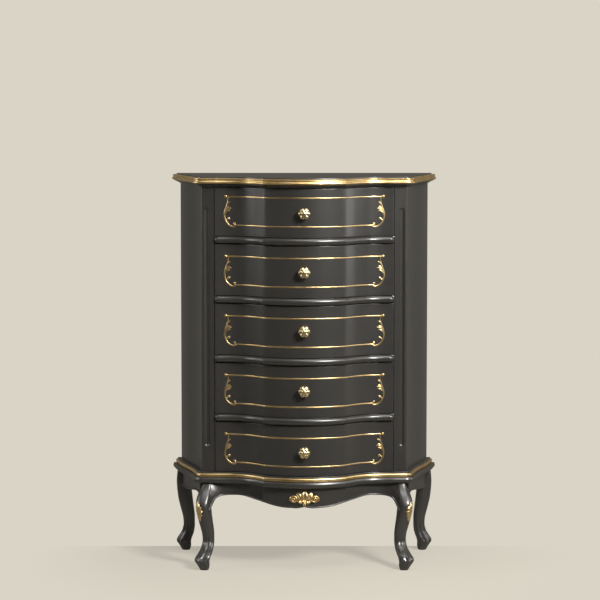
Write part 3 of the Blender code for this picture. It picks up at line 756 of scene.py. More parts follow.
def cut_line(line: list[Vector], y: float) -> Vector:
    """Return a point of a line that runs forward from the back.

    Args:
        line: The line.
        y: Where the point lies.

    Returns:
        The point.
    """
    for start, end in zip(line, line[1:]):
        if end.y <= y:
            return start.lerp(end, (start.y - y) / (start.y - end.y))
    return line[-1]


def line_behind(line: list[Vector], y: float) -> list[Vector]:
    """Return what lies behind Y of a line that runs forward from the back."""
    return [point for point in line if point.y > y] + [cut_line(line, y)]


def line_ahead(line: list[Vector], y: float) -> list[Vector]:
    """Return what lies ahead of Y of a line that runs forward from the back."""
    return [cut_line(line, y)] + [point for point in line if point.y < y]


def upright(outline: list[Vector], low_z: float, high_z: float) -> list[Ring]:
    """Return an outline at two heights."""
    return [[Vector((point.x, point.y, z)) for point in outline] for z in (low_z, high_z)]


@dataclass(frozen=True)
class Part:
    """A part of the chest, which follows the case's outline and hands its pieces to the dresser."""

    outline: CaseOutline
    dresser: Dresser


# Top, base, sides and posts


@dataclass(frozen=True)
class MouldedBoard(Part):
    """A board of the case's outline, with a moulded black edge and a gilded strip in its rebate.

    The sections hold shares of the overhang and of the thickness, as (out, up).
    """

    board_node: str
    strip_node: str
    edge: Shares
    strip_reach: float
    strip_high: float
    strip: Shares
    rebate: float = 0.45
    overhang: float = 0.026
    gap: float = 0.0003
    lip: float = 0.0012
    lip_turn: Pair = (30, 90)
    lip_steps: int = 3

    def make(self) -> None:
        """Add the board from its underside up, and its strip from the left back corner to the right one."""
        low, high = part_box(self.board_node)
        thickness = high.z - low.z
        ledge = self.rebate * self.overhang
        section = [(out * self.overhang, low.z + up * thickness) for out, up in self.edge]
        section += [(ledge, section[-1][1]), (ledge, high.z - self.lip)]
        for degrees in spaced(*self.lip_turn, self.lip_steps):
            turn = math.radians(degrees)
            section.append((
                ledge - self.lip + self.lip * math.cos(turn), high.z - self.lip + self.lip * math.sin(turn),
            ))
        stations = self.outline.whole()
        board = Shape([[station.at(out, z) for station in stations] for out, z in section])
        self.dresser.add(self.board_node, "lacquered", board, Slot.LACQUER, 28)
        inner = ledge + self.gap
        width = self.strip_reach * self.overhang - inner
        foot = low.z + self.edge[-1][1] * thickness + self.gap
        height = low.z + self.strip_high * thickness - foot
        section = [(inner + out * width, foot + up * height) for out, up in self.strip]
        strip = Shape([[station.at(out, z) for out, z in section] for station in stations])
        self.dresser.add(self.strip_node, "gilded", strip, Slot.GILDING, 28)


@dataclass(frozen=True)
class TopBoard(MouldedBoard):
    """The top board, whose gilded edge is a roll under a hollow and a fillet."""

    board_node: str = "top_board"
    strip_node: str = "top_gilt_moulding"
    edge: Shares = (
        (0.20, 0.0), (0.21, 0.02), (0.24, 0.05), (0.30, 0.08), (0.38, 0.11), (0.47, 0.14), (0.56, 0.18),
        (0.64, 0.215), (0.72, 0.24), (0.80, 0.26), (0.80, 0.31),
    )
    strip_reach: float = 1.0
    strip_high: float = 0.90
    strip: Shares = (
        (0.0, 0.0), (0.62, 0.0), (0.78, 0.02), (0.91, 0.08), (0.98, 0.16), (1.0, 0.25), (0.975, 0.34),
        (0.91, 0.41), (0.83, 0.455), (0.765, 0.50), (0.73, 0.56), (0.72, 0.62), (0.73, 0.68), (0.76, 0.73),
        (0.80, 0.77), (0.825, 0.81), (0.815, 0.865), (0.76, 0.915), (0.66, 0.955), (0.50, 0.985),
        (0.0, 1.0),
    )


@dataclass(frozen=True)
class BaseBoard(MouldedBoard):
    """The base board, with a gilded bead over a rounded black edge."""

    board_node: str = "base_board"
    strip_node: str = "base_gilt_bead"
    edge: Shares = (
        (0.50, 0.0), (0.62, 0.006), (0.74, 0.022), (0.84, 0.055), (0.92, 0.105), (0.975, 0.175), (1.0, 0.26),
        (0.995, 0.34), (0.97, 0.41), (0.93, 0.47), (0.88, 0.53),
    )
    strip_reach: float = 0.67
    strip_high: float = 0.88
    strip: Shares = (
        (0.0, 0.0), (0.52, 0.0), (0.64, 0.02), (0.79, 0.09), (0.90, 0.20), (0.97, 0.33), (1.0, 0.48),
        (0.98, 0.63), (0.91, 0.77), (0.80, 0.88), (0.66, 0.96), (0.50, 1.0), (0.0, 1.0),
    )


@dataclass(frozen=True)
class CaseWalls(Part):
    """The flaring side panels and the corner posts with their sunk flutes."""

    panel_thickness: float = 0.018
    post_back_y: float = -0.0385
    gap: float = 0.0003
    flute_place: float = 0.66
    flute_radius: float = 0.0105
    flute_depth: float = 0.0045
    flute_low_margin: float = 0.076
    flute_high_margin: float = 0.062
    flute_columns: int = 16
    flute_rows: int = 12
    least_half: float = 0.00005

    def make(self) -> None:
        """Add both panels and both posts."""
        low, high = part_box("corner_post_left")
        start = self.post_back_y + self.gap
        outer = line_behind(self.outline.side_line(0), start)
        inner = line_behind(self.outline.side_line(-self.panel_thickness), start)
        panel = upright(outer + inner[::-1], low.z, high.z)
        post = self._post_rings(low.z, high.z)
        for side in Side:
            wall, corner = Shape(sided(panel, side)), Shape(sided(post, side))
            self.dresser.add(f"side_panel_{side.word}", "lacquered", wall, Slot.LACQUER, 30)
            self.dresser.add(f"corner_post_{side.word}", "fluted", corner, Slot.LACQUER, 24)

    def _post_rings(self, low_z: float, high_z: float) -> list[Ring]:
        """Return the left post's sections, with the flute sunk into its face.

        Args:
            low_z: Height of the post's foot.
            high_z: Height of its top.

        Returns:
            The sections, from the base up.
        """
        front = line_ahead(self.outline.side_line(0), self.post_back_y)
        face_end = Vector((-self.outline.opening_half_width, self.outline.front.corner_y))
        inner_back = Vector((-self.outline.opening_half_width, self.post_back_y))
        middle = face_end.lerp(front[-1], self.flute_place)
        along = (face_end - front[-1]).normalized()
        sunk = self.flute_radius - self.flute_depth
        mouth = math.sqrt(self.flute_radius**2 - sunk**2)
        low = low_z + self.flute_low_margin + self.flute_radius
        high = high_z - self.flute_high_margin - self.flute_radius
        falling = [math.sin(a) for a in spaced(math.pi / 2, 0, self.flute_rows)]
        rising = [math.sin(a) for a in spaced(0, math.pi / 2, self.flute_rows)]
        heights = [(low_z, 1.0)]
        heights += [(low - mouth * beyond, beyond) for beyond in falling]
        heights += [(high + mouth * beyond, beyond) for beyond in rising]
        heights += [(high_z, 1.0)]
        rings = []
        for z, beyond in heights:
            half = max(mouth * math.sqrt(max(1 - beyond**2, 0.0)), self.least_half)
            ring = [Vector((point.x, point.y, z)) for point in front]
            for share in spaced(-1, 1, self.flute_columns):
                aside = half * share
                reach = self.flute_radius**2 - aside**2 - (mouth * beyond) ** 2
                depth = max(math.sqrt(max(reach, 0.0)) - sunk, 0.0)
                place = middle + along * aside
                ring.append(Vector((place.x, place.y + depth, z)))
            rings.append(ring + [Vector((point.x, point.y, z)) for point in (face_end, inner_back)])
        return rings


@dataclass(frozen=True)
class DrawerRail(Part):
    """A rail between two drawers: a half-round nose that stands out and rounds off at its ends."""

    thickness: float = 0.021
    nose: float = 0.013
    land: float = 0.003
    shoulder: float = 0.001
    back_reach: float = 0.060
    gap: float = 0.0003
    nose_rows: int = 14
    end_steps: int = 10

    def make(self) -> None:
        """Add the four rails."""
        for number in range(1, DRAWER_COUNT):
            node = f"drawer_rail_{number}"
            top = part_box(node)[1].z
            rings = []
            for turn in spaced(-math.pi / 2, math.pi / 2, self.nose_rows):
                nose = self.land + (self.nose - self.land) * math.cos(turn)
                rings.append(self._ring(nose, top - self.thickness / 2 * (1 - math.sin(turn))))
            self.dresser.add(node, "nosed", Shape(rings), Slot.LACQUER, 22)

    def _ring(self, nose: float, z: float) -> Ring:
        """Return one level of the rail.

        Args:
            nose: How far the level stands out.
            z: Its height.

        Returns:
            The level's points, from the left end round the front to the right one.
        """
        half_width = self.outline.opening_half_width - self.gap
        straight = half_width - self.nose
        curve = self.outline.front
        end = []
        for turn in spaced(0, math.pi / 2, self.end_steps)[1:]:
            end.append(Vector((straight + nose * math.sin(turn), curve.corner_y - nose * math.cos(turn), z)))
        end += [Vector((half_width, curve.corner_y + back, z)) for back in (self.shoulder, self.back_reach)]
        front = [Vector((x, curve.y(x) - nose, z)) for x in curve.xs(straight)]
        return mirrored([end[::-1]])[0] + front + end


# Legs and aprons


@dataclass(frozen=True)
class CabrioleLeg:
    """A left leg: its top, the pull of ankle, knee and foot, and the hoof it stands on.

    The sections hold shares: height, half width, ankle, knee, foot and how far the block reaches back.
    """

    node: str
    top: Pair
    ankle: Pair
    knee: Pair
    foot: Pair
    block_back_y: float
    height: float = 0.2602
    half_width: float = 0.0235
    points: int = 72
    levels: int = 84
    hoof_levels: int = 10
    hoof_step: float = 0.006
    hoof_high: float = 0.118
    hoof_fullness: float = 1.06
    shoulder: float = 0.0
    shoulder_start: float = 0.76
    toe_reach: float = 0.0062
    toe_spread: float = 0.055
    ridge_low: float = 0.10
    ridge_high: float = 0.50
    ridge_count: int = 10
    ridge_depth: float = 0.105
    sections: Shares = (
        (0.000, 0.530, 0.06, 0.00, 0.94, 0.00),
        (0.045, 0.740, 0.02, 0.00, 0.98, 0.00),
        (0.090, 0.900, 0.00, 0.00, 1.00, 0.00),
        (0.118, 1.000, 0.00, 0.00, 1.00, 0.00),
        (0.155, 0.975, 0.06, 0.00, 0.94, 0.00),
        (0.200, 0.905, 0.30, 0.00, 0.70, 0.00),
        (0.240, 0.835, 0.62, 0.00, 0.38, 0.00),
        (0.305, 0.780, 0.90, 0.00, 0.10, 0.00),
        (0.360, 0.775, 0.92, 0.02, 0.04, 0.00),
        (0.420, 0.820, 0.86, 0.14, 0.00, 0.00),
        (0.470, 0.860, 0.72, 0.28, 0.00, 0.00),
        (0.520, 0.900, 0.55, 0.45, 0.00, 0.02),
        (0.580, 0.940, 0.35, 0.65, 0.00, 0.08),
        (0.640, 0.975, 0.17, 0.83, 0.00, 0.25),
        (0.720, 0.990, 0.00, 1.00, 0.00, 0.80),
        (0.780, 0.975, -0.10, 1.02, 0.00, 1.00),
        (0.857, 0.930, -0.06, 0.77, 0.00, 1.00),
        (0.933, 0.870, 0.14, 0.33, 0.00, 1.00),
        (1.000, 0.820, 0.30, 0.02, 0.00, 1.00),
    )
    ridge_power: float = 0.7
    ridge_fades: Pair = (0.02, 0.10)
    facet: float = math.pi / 4
    square_low: float = 2.35
    square_growth: float = 1.75
    square_range: Pair = (0.68, 0.93)

    def section(self, share: float) -> tuple[Vector, float, float]:
        """Return a section of the leg before it is carved.

        Args:
            share: Its height, as a share of the leg's.

        Returns:
            Its centre, half width and half depth.
        """
        columns = range(1, len(self.sections[0]))
        width, ankle, knee, foot, block = (read_smoothly(self.sections, share, column) for column in columns)
        centre = Vector(self.top) + Vector(self.ankle) * ankle + Vector(self.knee) * knee
        centre += Vector(self.foot) * foot
        shoulder = self.shoulder * smooth_step(self.shoulder_start, 1.0, share)
        toe = self.toe_reach * math.exp(-(((share - self.hoof_high) / self.toe_spread) ** 2))
        centre.x += shoulder - toe
        half = self.half_width * width - shoulder
        back = centre.y + half
        back += min(max(block, 0.0), 1.0) * max(0.0, self.block_back_y - back)
        front = centre.y - half
        return Vector((centre.x, (front + back) / 2)), half, (back - front) / 2

    def squareness(self, share: float) -> float:
        """Return how square the section is at a share of the height, from 2 for a round one."""
        return self.square_low + self.square_growth * smooth_step(*self.square_range, share)

    def point(self, share: float, angle: float, raised: float = 0.0) -> Vector:
        """Return a point of the leg's surface.

        Args:
            share: Its height, as a share of the leg's.
            angle: Its direction from the section's centre.
            raised: How far it lies above the surface.

        Returns:
            The point.
        """
        centre, half_x, half_y = self.section(share)
        power = 2 / self.squareness(share)
        across, along = math.cos(angle), math.sin(angle)
        x = math.copysign(abs(across) ** power, across)
        y = math.copysign(abs(along) ** power, along)
        grow = self._carving(share, math.atan2(y, x), math.hypot(x, y))
        return Vector((
            centre.x + x * (half_x * grow + raised), centre.y + y * (half_y * grow + raised),
            share * self.height,
        ))

    def _carving(self, share: float, direction: float, reach: float) -> float:
        """Return how far the surface lies from the plain section, for the ridges and the hoof.

        Args:
            share: Height, as a share of the leg's.
            direction: The way from the section's centre.
            reach: How far the plain section lies that way, in half widths.

        Returns:
            What the plain reach is multiplied by.
        """
        if share <= self.hoof_high:
            off = (direction + self.facet / 2) % self.facet - self.facet / 2
            return self.hoof_fullness * math.cos(self.facet / 2) / math.cos(off) / reach
        fade = smooth_step(self.ridge_low, self.hoof_high + self.ridge_fades[0], share)
        fade *= 1 - smooth_step(self.ridge_low + self.ridge_fades[1], self.ridge_high, share)
        groove = (0.5 - 0.5 * math.cos(self.ridge_count * direction)) ** self.ridge_power
        return 1 - self.ridge_depth * fade * groove

    def rings(self) -> list[Ring]:
        """Draw the whole leg.

        Returns:
            Its sections, from the floor up.
        """
        turns = spaced(0, FULL_TURN, self.points)[:-1]
        heights = spaced(0, self.hoof_high, self.hoof_levels)
        heights += spaced(self.hoof_high + self.hoof_step, 1, self.levels)
        return [[self.point(share, turn) for turn in turns] for share in heights]


FRONT_LEG = CabrioleLeg(
    node="leg_front", top=(-0.307, -0.0715), ankle=(0.0122, -0.0365), knee=(-0.0035, -0.0425),
    foot=(-0.0008, -0.0765), block_back_y=-0.04847, shoulder=0.0044,
)
BACK_LEG = CabrioleLeg(
    node="leg_back", top=(-0.384, 0.1905), ankle=(0.0170, 0.0), knee=(0.0022, 0.0), foot=(0.0052, 0.0),
    block_back_y=0.1905, shoulder=-0.0030,
)


@dataclass(frozen=True)
class Legs(Part):
    """The two front and the two back legs."""

    def make(self) -> None:
        """Add the four legs."""
        for leg in (FRONT_LEG, BACK_LEG):
            rings = leg.rings()
            for side in Side:
                shape = Shape(sided(rings, side))
                self.dresser.add(f"{leg.node}_{side.word}", "carved", shape, Slot.LACQUER, 34)


@dataclass(frozen=True)
class Aprons(Part):
    """The serpentine front apron, the two side aprons and the board between the back legs."""

    top_z: float = 0.2602
    thickness: float = 0.014
    overhang: float = 0.006
    front_drop: float = 0.063
    front_reach: float = 0.016
    side_drop: float = 0.050
    side_steps: int = 72
    bead_radius: float = 0.0030
    bead_sides: int = 10
    chamfer: float = 0.001
    back_edge: float = 0.0008
    front_edge: Shares = (
        (0.0, 0.92), (0.08, 0.985), (0.126, 0.975), (0.214, 0.96), (0.318, 0.889), (0.423, 0.768),
        (0.530, 0.69), (0.618, 0.606), (0.672, 0.576), (0.743, 0.580), (0.831, 0.600), (0.902, 0.660),
        (0.943, 0.780), (0.966, 0.960), (1.0, 1.30),
    )
    swell_start: float = 0.228
    swell_power: float = 2.3
    swell_rows: int = 16
    join_share: float = 0.78
    sunk: float = 0.0003
    side_edge: Shares = (
        (0.0, 0.80), (0.15, 0.72), (0.30, 0.76), (0.50, 0.90), (0.65, 0.98), (0.80, 0.96), (1.0, 0.82),
    )

    def face_y(self, x: float) -> float:
        """Return Y of the front apron's face."""
        return self.outline.front.y(x) - self.overhang

    def make(self) -> None:
        """Add the four aprons."""
        self._front()
        self._sides()
        self._back()

    def _front(self) -> None:
        """Add the front apron, with a bead along its scalloped lower edge."""
        half = self.outline.opening_half_width + self.front_reach
        rings = []
        edge = []
        for x in self.outline.front.xs(half):
            low = self.top_z - self.front_drop * read_smoothly(self.front_edge, abs(x) / half)
            face = self.face_y(x)
            back = face + self.thickness
            heights = spaced(self.top_z, low + self.chamfer, self.swell_rows)
            ring = [Vector((x, face - self._swell(x, z, face), z)) for z in heights]
            swelled = ring[-1].y
            ring += [Vector((x, y, z)) for y, z in (
                (swelled + self.chamfer, low), (back, low), (back, self.top_z),
            )]
            rings.append(ring)
            edge.append(Vector((x, swelled, low + self.bead_radius)))
        shape = Shape(rings)
        self._bead(shape, edge)
        self.dresser.add("apron_front", "scalloped", shape, Slot.LACQUER, 30)

    def _swell(self, x: float, z: float, face: float) -> float:
        """Return how far the front apron swells forward, to run into the knee beside it.

        Args:
            x: The place across the front.
            z: Its height.
            face: Y of the plain face there.

        Returns:
            How far it stands ahead of the plain face.
        """
        share = z / FRONT_LEG.height
        centre, half_x, half_y = FRONT_LEG.section(share)
        power = FRONT_LEG.squareness(share)
        inner = abs(centre.x) - self.join_share * half_x

        def ahead(away: float) -> float:
            """Return how far the leg's front stands ahead of the plain face, away from the middle."""
            off = min(abs(away - abs(centre.x)) / half_x, 1.0)
            return max(face - centre.y + half_y * (1 - off**power) ** (1 / power) - self.sunk, 0.0)

        if abs(x) >= inner:
            return ahead(abs(x))
        along = max(abs(x) - self.swell_start, 0.0) / (inner - self.swell_start)
        return ahead(inner) * along**self.swell_power

    def _sides(self) -> None:
        """Add the side aprons, from the front legs to the back legs."""
        start_y, end_y = FRONT_LEG.top[1], BACK_LEG.top[1]
        face_line = self.outline.side_line(self.overhang)
        inner_line = self.outline.side_line(self.overhang - self.thickness)
        rings = []
        edge = []
        for t in spaced(0, 1, self.side_steps):
            y = start_y + (end_y - start_y) * t
            low = self.top_z - self.side_drop * read_smoothly(self.side_edge, t)
            face, inner = cut_line(face_line, y).x, cut_line(inner_line, y).x
            rings.append([Vector((x, y, z)) for x, z in (
                (face, self.top_z), (face, low + self.chamfer), (face + self.chamfer, low), (inner, low),
                (inner, self.top_z),
            )])
            edge.append(Vector((face, y, low + self.bead_radius)))
        for side in Side:
            shape = Shape(sided(rings, side))
            self._bead(shape, sided([edge], side)[0])
            self.dresser.add(f"apron_{side.word}", "scalloped", shape, Slot.LACQUER, 30)

    def _back(self) -> None:
        """Add the plain board between the back legs."""
        low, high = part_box("apron_back")
        corners = (low.x, low.y), (high.x, low.y), (high.x, high.y), (low.x, high.y)
        shape = Shape(upright([Vector(corner) for corner in corners], low.z, high.z))
        shape.bevel_sharp(60, self.back_edge, 2)
        self.dresser.add("apron_back", "plain", shape, Slot.LACQUER, 40)

    def _bead(self, shape: Shape, edge: list[Vector]) -> None:
        """Lay a round bead along an edge, half sunk into the apron's face.

        Args:
            shape: The apron's shape.
            edge: The bead's middle line.
        """
        turns = spaced(0, FULL_TURN, self.bead_sides)[:-1]
        rings = []
        for i, middle in enumerate(edge):
            forward = (edge[min(i + 1, len(edge) - 1)] - edge[max(i - 1, 0)]).normalized()
            aside = forward.cross(Vector((0, 0, 1))).normalized()
            up = aside.cross(forward).normalized()
            rings.append([
                middle + (aside * math.cos(a) + up * math.sin(a)) * self.bead_radius for a in turns
            ])
        shape.loft(rings)


# Carved and gilded ornament


@dataclass(frozen=True)
class ShellOrnament(Part):
    """The gilded shell on the front apron: two scrolls, a fan of hollow petals and a ribbon under it.

    Places and sizes are shares of the half width: (x, z, half width, half height, turn in degrees,
    relief). The scroll's roll and rise hold a share at its start and the change to its end.
    """

    aprons: Aprons
    half_width: float = 0.045
    middle_z: float = 0.2258
    thickness: float = 0.0100
    sink: float = 0.0006
    back_plate: Shares = ((0.0, 0.02, 0.60, 0.36, 0.0, 0.34),)
    petals: Shares = (
        (0.0, 0.20, 0.28, 0.34, 0.0, 0.98),
        (0.33, 0.16, 0.20, 0.31, -30.0, 0.86),
        (-0.33, 0.16, 0.20, 0.31, 30.0, 0.86),
        (0.52, 0.07, 0.15, 0.25, -54.0, 0.70),
        (-0.52, 0.07, 0.15, 0.25, 54.0, 0.70),
        (0.0, -0.12, 0.15, 0.12, 0.0, 1.0),
        (0.27, -0.20, 0.17, 0.13, 18.0, 0.80),
        (-0.27, -0.20, 0.17, 0.13, -18.0, 0.80),
        (0.0, -0.33, 0.13, 0.17, 0.0, 0.62),
    )
    petal_flare: float = 0.10
    hollow_depth: float = 0.42
    hollow_width: float = 0.42
    hollow_range: Pair = (-0.7, 0.1)
    scroll_x: float = 0.72
    scroll_radius: float = 0.26
    scroll_turns: float = 1.6
    scroll_start: float = 200.0
    scroll_tightening: float = 0.78
    scroll_steps: int = 44
    boss_rise: float = 0.55
    roll: Pair = (0.066, -0.018)
    rise: Pair = (0.38, 0.34)
    roll_sides: int = 10

    def make(self) -> None:
        """Add the shell."""
        shape = Shape()
        for petal in self.back_plate + self.petals:
            shape.ball(partial(self._petal_point, petal), 28, 18)
        for side in Side:
            shape.ball(partial(self._boss_point, side), 28, 14)
            shape.loft(self._scroll_rings(side))
        self.dresser.add("shell_ornament", "carved", shape, Slot.GILDING, 60)

    def _surface(self, x: float, z: float, relief: float) -> Vector:
        """Return a point that stands out from the apron's face, by its place from the shell's middle."""
        return Vector((x, self.aprons.face_y(x) - relief, self.middle_z + z))

    def _petal_point(self, petal: tuple[float, ...], unit: Vector) -> Vector:
        """Lay a point of the unit sphere on a petal, which is hollow along its middle.

        Args:
            petal: The petal's shares.
            unit: The point.

        Returns:
            Its place.
        """
        x0, z0, half_x, half_z, degrees, relief = petal
        turn = math.radians(degrees)
        x = unit.x * half_x
        z = unit.z * half_z * (1 + self.petal_flare * unit.z)
        hollow = self.hollow_depth * math.exp(-((unit.x / self.hollow_width) ** 2))
        hollow *= smooth_step(*self.hollow_range, unit.z)
        turned_x = x * math.cos(turn) - z * math.sin(turn)
        turned_z = x * math.sin(turn) + z * math.cos(turn)
        out = unit.y * (1 - hollow) * relief * self.thickness if unit.y > 0 else -self.sink
        return self._surface((x0 + turned_x) * self.half_width, (z0 + turned_z) * self.half_width, out)

    def _boss_point(self, side: Side, unit: Vector) -> Vector:
        """Lay a point of the unit sphere on the boss in the middle of a scroll.

        Args:
            side: The scroll's side.
            unit: The point.

        Returns:
            Its place.
        """
        reach = self.scroll_radius * self.half_width
        out = unit.y * self.thickness * self.boss_rise if unit.y > 0 else -self.sink
        x = side.value * self.scroll_x * self.half_width + unit.x * reach
        return self._surface(x, unit.z * reach, out)

    def _scroll_rings(self, side: Side) -> list[Ring]:
        """Return the sections of the spiral roll round a boss.

        Args:
            side: The scroll's side.

        Returns:
            The sections, from the outside in.
        """
        middle = Vector((side.value * self.scroll_x * self.half_width, 0.0))
        rings = []
        for t in spaced(0, 1, self.scroll_steps):
            turn = math.radians(self.scroll_start) - FULL_TURN * self.scroll_turns * t
            reach = self.half_width * self.scroll_radius * (1.0 - self.scroll_tightening * t)
            roll = self.half_width * (self.roll[0] + self.roll[1] * t)
            x = middle.x + side.value * -reach * math.cos(turn)
            z = reach * math.sin(turn)
            radial = Vector((side.value * -math.cos(turn), math.sin(turn)))
            ring = []
            for a in spaced(0, FULL_TURN, self.roll_sides)[:-1]:
                aside = radial * math.cos(a) * roll
                out = self.thickness * (self.rise[0] + self.rise[1] * t) + roll * math.sin(a)
                ring.append(self._surface(x + aside.x, z + aside.y, out))
            rings.append(ring)
        return rings


@dataclass(frozen=True)
class KneeLeaf(Part):
    """The gilded acanthus leaf that wraps the outer front corner of a front knee."""

    leg: CabrioleLeg = FRONT_LEG
    low: float = 0.565
    high: float = 0.80
    middle_angle: float = 226.0
    half_angle: float = 40.0
    thickness: float = 0.0036
    seat: float = -0.0008
    rows: int = 48
    columns: int = 22
    form: Shares = (
        (0.0, 0.10), (0.12, 0.42), (0.30, 0.78), (0.52, 1.0), (0.72, 0.86), (0.88, 0.52), (1.0, 0.18),
    )
    lobes: int = 5
    lobe_depth: float = 0.26
    crown_foot: float = 0.45
    crown_growth: float = 0.55
    crown_base: float = 0.72
    rib_rise: float = 0.35
    rib_width: float = 0.12
    vein_rise: float = 0.16
    vein_slant: float = 0.9
    back_steps: int = 4

    def make(self) -> None:
        """Add the leaf on the left and on the right knee."""
        middle = math.radians(self.middle_angle)
        rings = []
        for t in spaced(0, 1, self.rows):
            share = self.low + (self.high - self.low) * t
            lobe = 1 - self.lobe_depth * abs(math.cos(math.pi * self.lobes * t))
            spread = math.radians(self.half_angle) * read_smoothly(self.form, t) * lobe
            ring = [
                self.leg.point(share, middle + spread * s, self._relief(t, s))
                for s in spaced(-1, 1, self.columns)
            ]
            ring += [
                self.leg.point(share, middle + spread * s, self.seat)
                for s in spaced(1, -1, self.back_steps)
            ]
            rings.append(ring)
        for side in Side:
            self.dresser.add(f"knee_leaf_{side.word}", "carved", Shape(sided(rings, side)), Slot.GILDING, 60)

    def _relief(self, t: float, s: float) -> float:
        """Return how high the leaf stands.

        Args:
            t: The place along it, from 0 to 1.
            s: The place across it, from -1 to 1.

        Returns:
            Its height over the knee.
        """
        crown = math.sqrt(max(1 - s * s, 0.0))
        crown *= self.crown_foot + self.crown_growth * math.sin(math.pi * min(max(t, 0.0), 1.0))
        rib = self.rib_rise * math.exp(-((s / self.rib_width) ** 2))
        veins = self.vein_rise * math.cos(FULL_TURN * (self.lobes * t + self.vein_slant * abs(s)))
        return self.thickness * min(crown * (self.crown_base + veins) + rib * crown, 1.0)


# Drawers


@dataclass(frozen=True)
class DrawerPart(Part):
    """A part of one drawer, which is its body."""

    drawer: str


@dataclass(frozen=True)
class Stroke:
    """A raised gold stroke on a drawer front: its places (across, up) and its half widths there."""

    points: tuple[Pair, ...]
    widths: tuple[float, ...]


@dataclass(frozen=True)
class GoldFrame(DrawerPart):
    """The gold frame of a drawer front: two thin lines joined at each end by a leafy scroll.

    Lengths are millimetres from the frame's middle, drawn for the left end. Only the relief and the
    sink are metres. A line holds its height and half length, and a ball its place, radius and rise.
    """

    middle_z: float
    lines: tuple[Pair, ...] = ((42.6, 238.0), (-44.8, 212.0))
    line_half_width: float = 2.2
    relief: float = 0.0009
    sink: float = 0.0004
    across_steps: int = 6
    stroke_steps: int = 6
    least_half_width: float = 0.3
    strokes: tuple[Stroke, ...] = (
        Stroke(
            ((-234.0, 43.0), (-233.8, 35.5), (-234.5, 27.5), (-236.7, 19.0), (-239.8, 8.5), (-242.9, -3.0),
             (-244.4, -14.4), (-243.3, -25.0), (-239.0, -35.0), (-232.0, -43.0), (-223.5, -48.2),
             (-215.5, -49.2), (-209.5, -46.3)),
            (1.3, 1.3, 1.5, 1.7, 2.1, 2.6, 2.7, 2.5, 2.4, 2.5, 2.5, 2.2, 1.7),
        ),
        Stroke(((-237.4, 17.0), (-234.4, 21.8), (-230.6, 25.4), (-226.8, 27.4)), (0.8, 1.9, 2.0, 0.6)),
        Stroke(
            ((-243.0, -9.0), (-240.4, -1.4), (-235.8, 4.2), (-229.4, 7.0), (-223.2, 7.0)),
            (0.8, 2.2, 3.0, 2.7, 0.6),
        ),
        Stroke(((-241.6, -2.0), (-237.8, 6.0), (-233.0, 11.4), (-228.0, 13.8)), (0.8, 1.7, 2.0, 0.6)),
        Stroke(((-241.4, -7.0), (-237.0, -2.2), (-232.4, 0.4), (-227.2, 0.6)), (0.8, 1.7, 1.8, 0.6)),
        Stroke(((-240.0, -33.8), (-238.8, -29.2), (-235.8, -25.6), (-232.2, -23.8)), (1.0, 1.6, 1.8, 1.6)),
        Stroke(((-209.6, -46.2), (-212.4, -44.6), (-213.9, -42.4), (-214.1, -39.8)), (1.7, 1.8, 1.8, 1.4)),
    )
    balls: Shares = ((-241.9, 43.2, 4.6, 1.5), (-231.6, -23.6, 3.8, 1.3), (-214.0, -39.6, 3.5, 1.3))

    @property
    def section(self) -> list[Pair]:
        """Return the raised section of a stroke: shares of its half width, and how far out each lies."""
        raised = [(math.cos(a), math.sin(a) * self.relief) for a in spaced(math.pi, 0, self.across_steps)]
        return raised + [(1.0, -self.sink), (-1.0, -self.sink)]

    def make(self) -> None:
        """Add the frame."""
        shape = Shape()
        for up, end in self.lines:
            places = [x * MILLIMETRES for x in self.outline.front.xs(end / MILLIMETRES)]
            shape.loft([
                [self._surface(across, up + s * self.line_half_width, out) for s, out in self.section]
                for across in places
            ])
        for side in Side:
            for stroke in self.strokes:
                shape.loft(self._stroke_rings(stroke, -side.value))
            for ball in self.balls:
                shape.ball(partial(self._ball_point, ball, -side.value), 18, 10)
        self.dresser.add(self.drawer, "gold_frame", shape, Slot.GILDING, 60, self.drawer)

    def _surface(self, across: float, up: float, relief: float) -> Vector:
        """Return a point that stands out from the drawer's face."""
        x = across / MILLIMETRES
        return Vector((x, self.outline.front.face_y(x) - relief, self.middle_z + up / MILLIMETRES))

    def _stroke_rings(self, stroke: Stroke, flip: int) -> list[Ring]:
        """Return the sections of a curved stroke whose width changes along it.

        Args:
            stroke: The stroke.
            flip: 1 for the left end of the frame and -1 for the right one.

        Returns:
            The sections, from its start to its end.
        """
        places = [Vector((*point, width)) for point, width in zip(stroke.points, stroke.widths)]
        line = smooth_path(places, self.stroke_steps)
        rings = []
        for i, middle in enumerate(line):
            ahead = line[min(i + 1, len(line) - 1)] - line[max(i - 1, 0)]
            aside = Vector((-ahead.y, ahead.x)).normalized()
            half = max(middle.z, self.least_half_width)
            rings.append([
                self._surface(flip * (middle.x + aside.x * s * half), middle.y + aside.y * s * half, out)
                for s, out in self.section
            ])
        return rings

    def _ball_point(self, ball: tuple[float, ...], flip: int, unit: Vector) -> Vector:
        """Lay a point of the unit sphere on a flat round drop.

        Args:
            ball: The drop's place, radius and rise.
            flip: 1 for the left end of the frame and -1 for the right one.
            unit: The point.

        Returns:
            Its place.
        """
        across, up, radius, rise = ball
        out = unit.y * rise / MILLIMETRES if unit.y > 0 else -self.sink
        return self._surface(flip * across + unit.x * radius, up + unit.z * radius, out)


